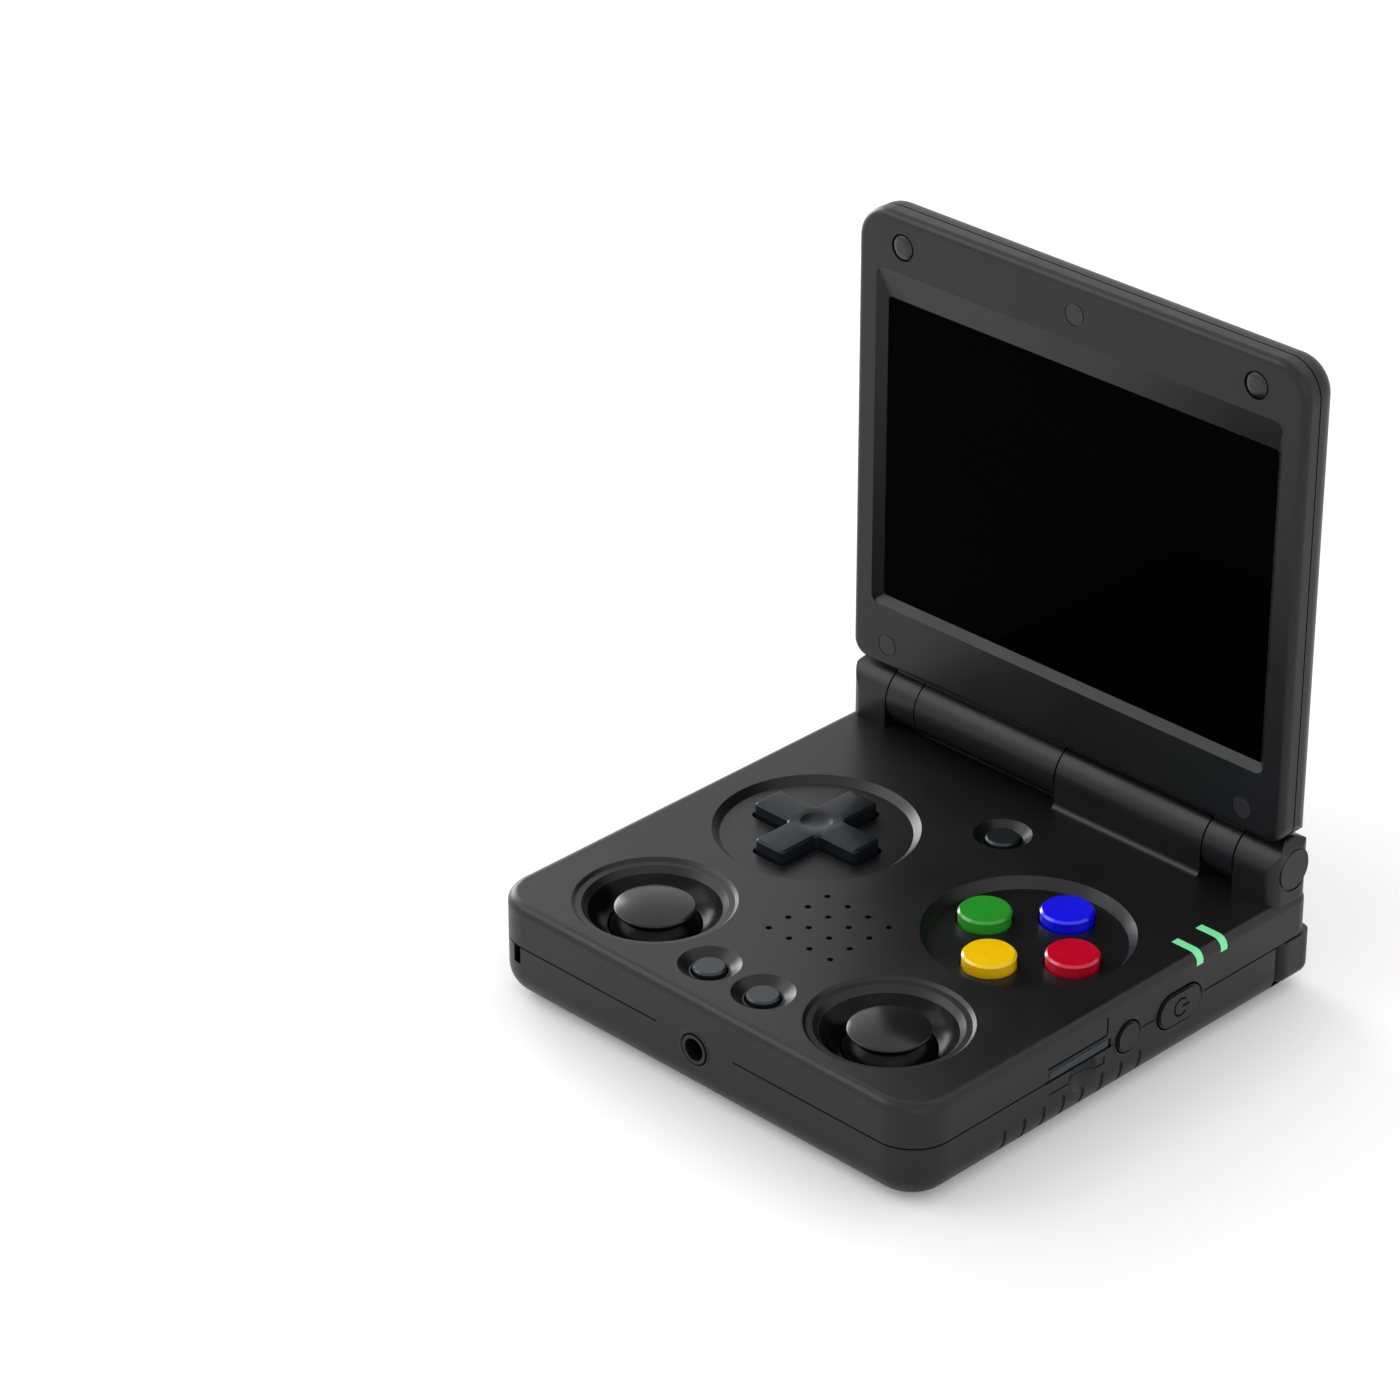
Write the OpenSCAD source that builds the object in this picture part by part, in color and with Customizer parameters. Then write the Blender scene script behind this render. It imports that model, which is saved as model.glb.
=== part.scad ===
// Clamshell handheld game console, drawn with the lid standing open at a right angle.
// Sizes are in millimetres. X runs right, Y runs from the front edge to the hinge, Z is up.

/* [Body] */
// Width of the base and of the lid
body_width = 89; // [88:0.5:90]
// Front to back length of the base
base_depth = 89.4; // [89:0.1:89.8]
// Height of the base without its feet
base_height = 16.8; // [16.6:0.1:17.4]
// Height of the upper base shell, down to the seam
seam_depth = 7.3; // [7.2:0.05:7.4]
// Corner radius at the front, seen from above
front_corner = 7; // [6:0.5:8]
// Corner radius of the upper shell at the back, seen from above
upper_corner = 3; // [2.8:0.1:3.4]
// Corner radius of the lower shell at the back, seen from above
back_corner = 5; // [4.8:0.1:5.4]
// Radius of the bottom edge
bottom_edge = 4.6; // [4:0.1:4.7]
// Radius of the top edge
top_edge = 1.6; // [1:0.1:1.8]
// Wall thickness at the sides
wall = 1.6; // [1.5:0.05:1.7]
// Thickness of the keyboard plate
plate = 2; // [1.8:0.1:2.1]
// Thickness of the floor
floor_plate = 1.8; // [1.6:0.1:1.9]
// Height of the rubber feet
foot_height = 0.4; // [0.3:0.05:0.6]
// Width of the groove drawn along the seam
seam_groove = 0.25; // [0.15:0.05:0.35]

/* [Hinge] */
// Distance of the hinge axis from the back of the base
axis_inset = 4.35; // [4.25:0.05:4.4]
// Height of the hinge axis above the keyboard plate
axis_rise = 4.85; // [4.8:0.05:4.95]
// Radius of the hinge barrel
barrel_radius = 5.25; // [5.15:0.05:5.3]
// Step between the side of the base and the end of an ear
ear_inset = 0.3; // [0.2:0.1:0.6]
// Width of an ear
ear_width = 8; // [7.8:0.1:8.2]
// Radius of the outer edges of an ear
ear_round = 2.2; // [1.8:0.1:2.4]
// Width of a knuckle of the lid
knuckle_width = 6.2; // [6:0.1:6.4]
// Gap between the end faces of the hinge parts
hinge_gap = 0.3; // [0.3:0.05:0.4]
// Radius of the steel hinge pins
pin_radius = 1.8; // [1.5:0.1:2]
// Clearance of a pin in its bearing
pin_clearance = 0.05; // [0.03:0.01:0.08]
// Radius of the round cap at each end of the hinge
cap_disc = 3.55; // [3.4:0.05:3.6]

/* [Lid] */
// Thickness of the closed lid
lid_thickness = 7.4; // [7.2:0.1:7.8]
// Depth of the lid front shell, down to the side seam
lid_split = 3.1; // [3:0.05:3.2]
// Start of the lid, measured from the hinge axis
lid_start = 5.65; // [5.6:0.05:5.8]
// Setback of the closed lid from the front of the base
lid_setback = 0.05; // [0.05:0.05:0.3]
// Gap between the closed lid and the keyboard plate
closed_gap = 0.35; // [0.35:0.05:0.5]
// Edge radius on the screen side
lid_inner_edge = 1.3; // [1:0.1:1.4]
// Edge radius on the outside
lid_outer_edge = 3.2; // [2.6:0.1:3.4]
// Corner radius at the free end
lid_corner = 5.8; // [5.2:0.2:6.4]
// Corner radius near the hinge
lid_hinge_corner = 3; // [2.6:0.2:3.4]
// Wall thickness of the lid
lid_wall = 1.4; // [1.3:0.05:1.5]

/* [Screen] */
// Bezel left and right of the black screen opening
screen_side = 5.55; // [5.4:0.05:5.8]
// Bezel above the black screen opening
screen_far = 14.8; // [14.6:0.1:15.2]
// Lower edge of the opening, measured from the hinge axis
screen_start = 17.9; // [17.6:0.1:18.2]
// Depth of the recess around the screen
recess_depth = 1.35; // [1.25:0.05:1.4]
// Width of the slope at the left and right of the screen
recess_side = 1.45; // [1.2:0.05:1.6]
// Width of the slope above the screen
recess_top = 5.2; // [4.6:0.1:5.4]
// Width of the slope below the screen
recess_bottom = 1.2; // [1:0.05:1.4]
// Thickness of the screen window
glass_thickness = 0.9; // [0.8:0.1:1]
// Thickness of the display panel
panel_thickness = 1.6; // [1.4:0.1:1.9]

/* [Sticks] */
// Share of the width between the middle and a stick
stick_across = 0.275; // [0.273:0.001:0.278]
// Share of the depth between the front edge and the sticks
stick_along = 0.1786; // [0.177:0.0004:0.181]
// Radius of the stick dish at the plate
stick_rim = 12.8; // [12.4:0.1:13]
// Radius of the step inside the dish
stick_step = 11.3; // [11:0.1:11.5]
// Radius of the bowl under the step
stick_bowl = 10.4; // [10.3:0.1:10.5]
// Depth of the bowl
bowl_depth = 4.2; // [4:0.1:4.3]
// Radius of the hole in the bowl
stick_hole = 8.3; // [8.3:0.05:8.5]
// Radius of the thumb cap
cap_radius = 6.36; // [6:0.1:6.5]
// Thickness of the thumb cap
cap_thickness = 1.2; // [1.1:0.1:1.4]
// Depth of the cap top below the plate
cap_drop = 0.24; // [0.2:0.05:0.4]
// Radius of the ball shaped skirt
skirt_radius = 8; // [7.8:0.05:8]
// Depth of the stick pivot below the plate
pivot_depth = 8; // [7.9:0.1:8.1]

/* [Direction pad] */
// Share of the width between the middle and a button well
well_across = 0.2492; // [0.2476:0.0004:0.2512]
// Share of the depth between the front edge and the button wells
well_along = 0.5499; // [0.5483:0.0004:0.5519]
// Radius of both wells
well_radius = 16.45; // [16.2:0.1:16.6]
// Depth of the direction pad well
pad_well_depth = 1.1; // [1:0.05:1.2]
// Width of the sloped wall of both wells
well_bevel = 1.25; // [1:0.05:1.4]
// Length of the direction pad
pad_length = 21.8; // [21:0.1:22]
// Width of its arms
pad_arm = 6; // [5.8:0.1:6.2]
// Height of the direction pad above the plate
pad_top = 1.06; // [0.9:0.02:1.1]
// Edge bevel of the direction pad
pad_bevel = 0.3; // [0.2:0.05:0.5]
// Diameter of the thumb dish in the middle
pad_dish = 5.5; // [5:0.1:5.7]
// Gap around the direction pad
pad_gap = 0.5; // [0.5:0.05:0.6]

/* [Action buttons] */
// Depth of the action button well
action_well_depth = 1.7; // [1.6:0.05:1.8]
// Distance of each action button from the middle of its well
action_pitch = 8.86; // [8.7:0.05:9]
// Diameter of the action buttons
action_diameter = 8.4; // [8.2:0.1:8.5]
// Height of the action buttons above the plate
action_top = 0.23; // [0.2:0.01:0.3]
// Edge bevel of the action buttons
action_bevel = 0.35; // [0.2:0.05:0.5]
// Gap around every round button
button_gap = 0.3; // [0.3:0.05:0.35]

/* [Small buttons] */
// Share of the width between the middle and a small button
small_across = 0.063; // [0.062:0.0005:0.064]
// Share of the depth between the front edge and the small buttons
small_along = 0.0992; // [0.0982:0.0005:0.1002]
// Radius of the dish around a small button
small_dish = 4.9; // [4.6:0.1:4.9]
// Radius of the small buttons
small_radius = 2.6; // [2.5:0.05:2.65]
// Share of the depth between the front edge and the function button
function_along = 0.7606; // [0.7566:0.002:0.7646]
// Radius of the dish around the function button
function_dish = 4.68; // [4.6:0.02:4.8]
// Radius of the function button
function_radius = 2.75; // [2.7:0.05:2.8]
// Depth of the small dishes
dish_depth = 1.2; // [1:0.1:1.3]
// Depth of the small button tops below the plate
small_drop = 0.35; // [0.3:0.05:0.5]

/* [Speaker] */
// Share of the depth between the front edge and the middle of the sound holes
speaker_along = 0.3215; // [0.3195:0.001:0.3245]
// Spacing of the sound holes
speaker_pitch = 4.28; // [4.1:0.02:4.4]
// Radius of the sound holes
speaker_hole = 0.5; // [0.4:0.05:0.6]

/* [Side controls] */
// Height of the side controls, measured down from the plate
side_depth = 7.4; // [7.3:0.05:7.5]
// Share of the depth between the front edge and the power button
power_along = 0.6521; // [0.6496:0.0005:0.6551]
// Length of the power button
power_length = 9.8; // [9.4:0.1:10]
// Height of the power button
power_height = 5.6; // [5.2:0.1:5.8]
// Share of the depth between the front edge and the round side button
side_button_along = 0.5201; // [0.5181:0.0005:0.5231]
// Radius of the round side button
side_button_radius = 2.5; // [2.3:0.05:2.6]
// How far the side controls stand out
side_proud = 0.4; // [0.3:0.05:0.5]
// Length of the volume rocker
rocker_length = 14; // [13:0.5:15]
// Height of the volume rocker
rocker_height = 3.6; // [3.2:0.1:4]
// Grip grooves on each side
grip_count = 8; // [6:1:8]
// Spacing of the grip grooves
grip_pitch = 4.3; // [4.1:0.1:4.3]
// First grip groove, measured from the front edge
grip_start = 19.4; // [18.8:0.2:19.6]
// Radius of a grip groove
grip_radius = 0.35; // [0.25:0.05:0.4]
// Share of the depth between the front edge and the first light strip
light_along = 0.7025; // [0.7015:0.0005:0.7035]
// Distance between the two light strips
light_pitch = 5.6; // [5.4:0.1:5.8]
// Width of a light strip
light_width = 1.5; // [1.3:0.1:1.6]

/* [Ports] */
// Depth of the headphone jack below the plate
jack_depth = 8.67; // [8.5:0.05:8.8]
// Radius of the jack collar
jack_collar = 3; // [2.9:0.05:3.05]
// Radius of the jack bore, made for a standard plug
jack_bore = 1.8; // [1.78:0.01:1.85]
// Length of the jack bore
jack_length = 14.2; // [14:0.1:14.4]
// Share of the depth between the front edge and the middle of the card slot
card_along = 0.3937; // [0.3917:0.0005:0.3957]
// Length of the card slot
card_slot = 12.4; // [12:0.1:12.6]
// Height of the card slot
card_height = 1.3; // [1.1:0.1:1.4]

/* [Shoulder buttons] */
// Length of the shoulder buttons, measured forwards from the back of the base
shoulder_length = 7.1; // [6.9:0.05:7.2]
// Width of an outer shoulder button
shoulder_outer_width = 17.35; // [17:0.05:17.6]
// Width of an inner shoulder button
shoulder_inner_width = 14.85; // [14.5:0.05:15]
// Corner radius of the shoulder buttons, seen from above
shoulder_corner = 2.1; // [2.1:0.1:2.4]
// How far the shoulder buttons stand out at the back
shoulder_proud = 0.85; // [0.6:0.05:0.9]

/* [Hidden] */
$fn = 64;

// A little extra so that cuts pass clean through.
eps = 0.5;
// Running gap between moving neighbours.
move_gap = 0.3;

half = body_width / 2;
axis_setback = base_depth - axis_inset;
total_depth = axis_setback + barrel_radius;
front_y = -total_depth / 2;
top_z = foot_height + base_height;
lower_height = base_height - seam_depth;
face_drop = axis_rise - closed_gap;

// Places of the controls on the plate and at the sides.
stick_x = stick_across * body_width;
stick_y = stick_along * base_depth;
well_x = well_across * body_width;
well_y = well_along * base_depth;
small_x = small_across * body_width;
small_y = small_along * base_depth;
function_y = function_along * base_depth;
speaker_y = speaker_along * base_depth;
power_y = power_along * base_depth;
side_button_y = side_button_along * base_depth;
card_y = card_along * base_depth;
light_y = light_along * base_depth;

// Ends of the hinge parts, from the middle.
ear_outer = half - ear_inset;
ear_inner = ear_outer - ear_width;
knuckle_inner = ear_inner - knuckle_width;

// Depths below the plate of the parts inside the base.
floor_z = -base_height + floor_plate;
board_top = -7;
board_end = base_depth - 11.4;
tongue_end = base_depth - 6.4;
tongue_half = 9;
board_thickness = 1.2;
sheet_thickness = 0.5;
sheet_top = board_top + sheet_thickness;

module on_base() {
  translate([0, front_y, top_z]) children();
}

// Lid space: Y runs away from the hinge axis, Z = 0 is the screen side, negative Z the outside.
module on_lid() {
  on_base() translate([0, axis_setback - face_drop, axis_rise]) rotate([90, 0, 0]) children();
}

// Bar along X between two ends.
module bar(x0, x1, r) {
  translate([x0, 0, 0]) rotate([0, 90, 0]) cylinder(r = r, h = x1 - x0);
}

// Profile drawn in Y and Z, pushed along X between two ends.
module along_x(x0, x1) {
  translate([x0, 0, 0]) rotate([90, 0, 90]) linear_extrude(x1 - x0) children();
}

// Profile drawn in X and Z, pushed along Y between two ends.
module along_y(y0, y1) {
  translate([0, y1, 0]) rotate([90, 0, 0]) linear_extrude(y1 - y0) children();
}

module box(x0, x1, y0, y1, z0, z1) {
  translate([x0, y0, z0]) cube([x1 - x0, y1 - y0, z1 - z0]);
}

// Rectangle with its own corner radius at the near and the far end.
module mixed_plan(w, d, rn, rf) {
  union() {
    translate([-w / 2 + rn, 0]) square([w - 2 * rn, d / 2]);
    translate([-w / 2 + rf, d / 2]) square([w - 2 * rf, d / 2]);
    translate([-w / 2, rn]) square([w, d - rn - rf]);
    for (s = [-1, 1]) {
      translate([s * (w / 2 - rn), rn]) circle(r = rn);
      translate([s * (w / 2 - rf), d - rf]) circle(r = rf);
    }
  }
}

module round_plan(w, d, r) {
  translate([0, -d / 2]) mixed_plan(w, d, r, r);
}

module quarter(r) {
  intersection() {
    circle(r = r);
    square([r, r]);
  }
}

// Rounded lower edge of a slab, along four sides and around four corners.
module edge_roll(w, d, rn, rf, e) {
  for (s = [0, 1]) mirror([s, 0, 0]) {
    translate([w / 2 - e, rn, e]) rotate([-90, 0, 0]) linear_extrude(d - rn - rf) quarter(e);
    translate([w / 2 - rf, d - rf, e]) rotate_extrude(angle = 90)
      translate([rf - e, 0]) mirror([0, 1]) quarter(e);
    translate([w / 2 - rn, rn, e]) rotate([0, 0, -90]) rotate_extrude(angle = 90)
      translate([rn - e, 0]) mirror([0, 1]) quarter(e);
  }
  translate([-w / 2 + rn, e, e]) rotate([0, 0, -90]) rotate([-90, 0, 0])
    linear_extrude(w - 2 * rn) quarter(e);
  translate([w / 2 - rf, d - e, e]) rotate([0, 0, 90]) rotate([-90, 0, 0])
    linear_extrude(w - 2 * rf) quarter(e);
}

// Slab with rounded corners and a rounded lower and upper edge.
module slab(w, d, h, rn, rf, eb, et) {
  union() {
    translate([0, 0, eb]) linear_extrude(h - eb - et) mixed_plan(w, d, rn, rf);
    if (eb > 0) {
      translate([0, eb, 0]) linear_extrude(h - et) mixed_plan(w - 2 * eb, d - 2 * eb, rn - eb, rf - eb);
      edge_roll(w, d, rn, rf, eb);
    }
    if (et > 0) {
      translate([0, et, eb]) linear_extrude(h - eb) mixed_plan(w - 2 * et, d - 2 * et, rn - et, rf - et);
      translate([0, 0, h]) mirror([0, 0, 1]) edge_roll(w, d, rn, rf, et);
    }
  }
}

// Plan of the base with a given back corner, moved inwards by a wall.
module base_plan(inset, back) {
  translate([0, inset]) mixed_plan(body_width - 2 * inset, base_depth - 2 * inset,
                                   front_corner - inset, back - inset);
}

// ---------- base shells ----------

screw_front = [half - 5.5, 8];
screw_rear = [half - 5.8, base_depth - 14.8];
screw_radius = 0.9;
boss_radius = 2.2;
well_skin = 1.3;
bowl_skin = 1.1;
bowl_foot = 9.7;
ledge_depth = 0.6;
skin_depth = action_well_depth + well_skin;
pad_skin = pad_well_depth + well_skin;
trough_gap = 0.35;
jack_patch = 8;
side_reach = 4.4;
press_gap = 0.3;
board_inset = side_reach + press_gap + 0.5;
ear_front_round = 2.5;
barrel_front = axis_setback - barrel_radius;
foot_fillet = 1;
cap_depth = 1;
ear_bore_end = ear_outer - cap_depth - 0.2;
tube_radius = 2.6;
tube_bore = 1.7;
clutch_radius = 3.6;
clutch_start = 9;
rocker_pin = 0.45;

module base_outer(z0, z1) {
  intersection() {
    translate([0, 0, -base_height])
      slab(body_width, base_depth, base_height, front_corner, back_corner, bottom_edge, top_edge);
    box(-body_width, body_width, -eps, total_depth, z0, z1);
  }
}

module upper_outer() {
  groove_h = seam_groove / 2;
  translate([0, 0, -seam_depth + groove_h])
    slab(body_width, base_depth, seam_depth - groove_h, front_corner, upper_corner, 0, top_edge);
  translate([0, 0, -seam_depth]) linear_extrude(groove_h * 2) base_plan(seam_groove, upper_corner);
  box(-jack_patch, jack_patch, 0, wall, -seam_depth, -seam_depth + groove_h);
}

module lower_outer() {
  groove_h = seam_groove / 2;
  translate([0, 0, -base_height])
    slab(body_width, base_depth, lower_height - groove_h, front_corner, back_corner, bottom_edge, 0);
  translate([0, 0, -seam_depth - groove_h * 2])
    linear_extrude(groove_h * 2) base_plan(seam_groove, back_corner);
  box(-jack_patch, jack_patch, 0, wall, -seam_depth - groove_h, -seam_depth);
}

// Side view of the fixed barrel and of an ear: round above, with a flat front down to the plate.
module barrel_profile() {
  translate([axis_setback, axis_rise]) circle(r = barrel_radius);
  translate([barrel_front, -seam_depth]) square([axis_setback - barrel_front, seam_depth + axis_rise]);
  translate([axis_setback, -seam_depth]) square([base_depth - axis_setback, seam_depth + axis_rise]);
}

module foot_profile() {
  difference() {
    translate([barrel_front - foot_fillet, -foot_fillet])
      square([foot_fillet + eps, 2 * foot_fillet]);
    translate([barrel_front - foot_fillet, foot_fillet]) circle(r = foot_fillet);
  }
}

// Right-hand ear, flat at the back, with its outer edges rounded.
module ear() {
  x0 = ear_inner + hinge_gap / 2;
  top = axis_rise + barrel_radius;
  overrun = 0.02;
  intersection() {
    along_x(x0, ear_outer) barrel_profile();
    translate([0, barrel_front - overrun, -seam_depth - eps]) linear_extrude(top + seam_depth + 2 * eps)
      mixed_plan(2 * ear_outer, base_depth - barrel_front + overrun, ear_front_round, upper_corner);
    along_y(barrel_front - eps, total_depth + eps) {
      translate([x0 - eps, -seam_depth - eps])
        square([ear_outer - ear_round - x0 + eps, seam_depth + eps + top + overrun]);
      translate([x0 - eps, -seam_depth - eps])
        square([ear_outer - x0 + eps, seam_depth + eps + top + overrun - ear_round]);
      translate([ear_outer - ear_round, top + overrun - ear_round]) circle(r = ear_round);
    }
  }
}

module fixed_barrel() {
  along_x(hinge_gap / 2, knuckle_inner - hinge_gap / 2) {
    barrel_profile();
    foot_profile();
  }
}

// Room under the turning knuckles.
module knuckle_trough(x0, x1) {
  translate([0, axis_setback, axis_rise]) bar(x0, x1, barrel_radius + trough_gap);
}

module stick_dish_cut() {
  rotate_extrude() polygon([
    [0, eps], [stick_rim, eps], [stick_rim, 0], [stick_rim - 0.55, -ledge_depth + 0.1],
    [stick_step, -ledge_depth], [stick_bowl, -ledge_depth - 1], [bowl_foot, -bowl_depth],
    [stick_hole, -bowl_depth], [stick_hole, -bowl_depth - 2 * bowl_skin],
    [0, -bowl_depth - 2 * bowl_skin]]);
}

module stick_dish_wall() {
  rotate_extrude() polygon([
    [stick_step - 1, 0], [stick_rim + 1.2, 0], [stick_rim + 1.2, -plate],
    [stick_bowl + 1.2, -plate - 0.3], [bowl_foot + 1.3, -bowl_depth - bowl_skin],
    [stick_hole - 0.2, -bowl_depth - bowl_skin], [stick_hole - 0.2, -bowl_depth + 0.2]]);
}

module well_cut(depth) {
  rotate_extrude() polygon([
    [0, eps], [well_radius, eps], [well_radius, 0], [well_radius - well_bevel, -depth], [0, -depth]]);
}

module dish_cut(r, hole) {
  rotate_extrude() polygon([
    [0, eps], [r, eps], [r, 0], [hole + 0.25, -dish_depth], [hole, -dish_depth],
      [hole, -skin_depth - eps], [0, -skin_depth - eps]]);
}

module cross_plan(l, w, corner, fillet) {
  round_plan(w, l, corner);
  round_plan(l, w, corner);
  for (k = [0 : 3]) rotate([0, 0, 90 * k]) translate([w / 2, w / 2]) difference() {
    translate([-eps, -eps]) square([fillet + eps, fillet + eps]);
    translate([fillet, fillet]) circle(r = fillet);
  }
}

module pill_plan(l, h) {
  round_plan(l, h, h / 2 - 0.01);
}

// Cuts for the side controls, shared by both shells.
module side_cuts() {
  x0 = half - 3 * wall;
  translate([0, power_y, -side_depth]) along_x(x0, half + eps)
    pill_plan(power_length + 2 * button_gap, power_height + 2 * button_gap);
  translate([0, side_button_y, -side_depth]) bar(x0, half + eps, side_button_radius + button_gap);
  translate([0, power_y, -side_depth]) along_x(-half - eps, -x0)
    round_plan(rocker_length + 2 * button_gap, rocker_height + 2 * button_gap, 1.2);
  translate([-half + wall / 2, power_y, -side_depth - rocker_height / 2 - 1.2])
    cylinder(r = rocker_pin + pin_clearance, h = rocker_height + 2.4);
}

module light_cuts() {
  for (k = [0, 1])
    box(half - 5.1, half + eps, light_y + k * light_pitch - light_width / 2,
        light_y + k * light_pitch + light_width / 2, -2.1, eps);
}

module jack_cut() {
  translate([0, 0, -jack_depth]) rotate([90, 0, 0])
    translate([0, 0, -wall - eps]) cylinder(r = jack_collar + 0.12, h = wall + 2 * eps);
}

module base_top_shell() {
  color("dimgray") on_base() difference() {
    union() {
      difference() {
        upper_outer();
        translate([0, 0, -seam_depth - eps]) linear_extrude(seam_depth + eps - plate)
          base_plan(wall, upper_corner);
      }
      for (s = [-1, 1]) {
        translate([s * stick_x, stick_y, 0]) stick_dish_wall();
        translate([s * small_x, small_y, -skin_depth]) cylinder(r = small_dish, h = skin_depth - 0.1);
        for (p = [screw_front, screw_rear])
          translate([s * p[0], p[1], -seam_depth]) cylinder(r = boss_radius, h = seam_depth - 1);
      }
      translate([-well_x, well_y, -pad_skin]) cylinder(r = well_radius + 0.9, h = pad_skin - 0.1);
      translate([well_x, well_y, -skin_depth]) cylinder(r = well_radius + 0.9, h = skin_depth - 0.1);
      translate([0, function_y, -skin_depth]) cylinder(r = function_dish, h = skin_depth - 0.1);
      ear();
      mirror([1, 0, 0]) ear();
      fixed_barrel();
    }
    for (s = [-1, 1]) {
      translate([s * stick_x, stick_y, 0]) stick_dish_cut();
      translate([s * small_x, small_y, 0]) dish_cut(small_dish, small_radius + button_gap);
      for (p = [screw_front, screw_rear])
        translate([s * p[0], p[1], -seam_depth - eps])
          cylinder(r = screw_radius + 0.03, h = seam_depth - plate - 0.5);
    }
    translate([0, function_y, 0]) dish_cut(function_dish, function_radius + button_gap);
    translate([-well_x, well_y, 0]) {
      well_cut(pad_well_depth);
      translate([0, 0, -skin_depth - eps]) linear_extrude(skin_depth)
        cross_plan(pad_length + 2 * pad_gap, pad_arm + 2 * pad_gap, 1.2, 0.6);
    }
    translate([well_x, well_y, 0]) {
      well_cut(action_well_depth);
      for (k = [0 : 3]) rotate([0, 0, 90 * k]) translate([action_pitch, 0, -skin_depth - eps])
        cylinder(r = action_diameter / 2 + button_gap, h = skin_depth);
    }
    for (i = [0 : 3]) for (j = [0 : 3])
      translate([(i - 1.5) * speaker_pitch, speaker_y + (j - 1.5) * speaker_pitch, -plate - eps])
        cylinder(r = speaker_hole, h = plate + 2 * eps);
    knuckle_trough(-ear_inner - hinge_gap / 2, hinge_gap / 2);
    knuckle_trough(knuckle_inner - hinge_gap / 2, ear_inner + hinge_gap / 2);
    translate([0, axis_setback, axis_rise]) {
      for (s = [0, 1]) mirror([s, 0, 0]) {
        bar(ear_inner, ear_bore_end, pin_radius + pin_clearance);
        bar(ear_outer - cap_depth, ear_outer + eps, cap_disc + 0.03);
      }
      bar(0, clutch_start + eps, tube_radius);
      bar(clutch_start, knuckle_inner + eps, clutch_radius);
    }
    box(-tongue_half - move_gap, tongue_half + move_gap, barrel_front - wall, tongue_end + move_gap,
        -seam_depth - eps, board_top + move_gap);
    side_cuts();
    light_cuts();
    jack_cut();
  }
}

// ---------- lower shell ----------

shoulder_start = base_depth - shoulder_length;
shoulder_split = half - shoulder_outer_width - move_gap / 2;
shoulder_end = shoulder_split - move_gap / 2 - shoulder_inner_width;
shoulder_edge = 2;
pocket_front = shoulder_start - 1.1;
pocket_top = -seam_depth - 0.3;
pocket_floor = -base_height + 1.2;
pocket_wall = 1.1;
port_top = board_top - board_thickness;
port_wall = 0.3;
port_inset = 0.4;
usb_width = 7.5;
usb_height = 2.6;
video_width = 11.2;
video_height = 3.2;
socket_reach = 16.6;
socket_half = 6.9;
jack_half = 3.6;
battery_x = half - 17.5;
battery_y0 = 33;
battery_y1 = base_depth - 15.4;
cover_x = half - 14.5;
cover_y0 = 31;
cover_y1 = base_depth - 13.4;

module shoulder_pockets() {
  for (s = [0, 1]) mirror([s, 0, 0])
    box(shoulder_end - move_gap, body_width, pocket_front, total_depth, pocket_floor,
        -seam_depth + eps);
}

module grip_groove() {
  r = bottom_edge;
  translate([half - r, 0, -base_height + r]) {
    rotate([-90, 0, 0]) rotate_extrude(angle = 90) translate([r, 0]) circle(r = grip_radius);
    translate([r, 0, 0]) cylinder(r = grip_radius, h = 0.7);
    translate([r, 0, 0.7]) sphere(r = grip_radius);
  }
}

module strap_cut() {
  translate([-half + 6, -eps, -8.4]) box(-0.8, 0.8, 0, wall + 2 * eps, -2, 2);
}

module card_cut() {
  box(half - 2 * wall, half + eps, card_y - card_slot / 2, card_y + card_slot / 2,
      -seam_depth - 1.2 - card_height, -seam_depth - 1.2);
  translate([half + 3.4, card_y + 1.2, -seam_depth - 1.9]) sphere(r = 4.6);
}

module usb_cut() {
  box(-half - eps, -half + 2 * wall, card_y - usb_width / 2 - 0.15, card_y + usb_width / 2 + 0.15,
      port_top - usb_height - 0.1, port_top + 0.1);
}

module video_cut() {
  box(-video_width / 2 - 0.15, video_width / 2 + 0.15, base_depth - 3 * wall, total_depth,
      port_top - video_height - 0.1, port_top + 0.1);
}

// Solid walls left standing around the shoulder buttons.
module pocket_block() {
  for (s = [0, 1]) mirror([s, 0, 0])
    box(shoulder_end - move_gap - pocket_wall, half + eps, pocket_front - pocket_wall,
        total_depth, -base_height - eps, eps);
}

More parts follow.
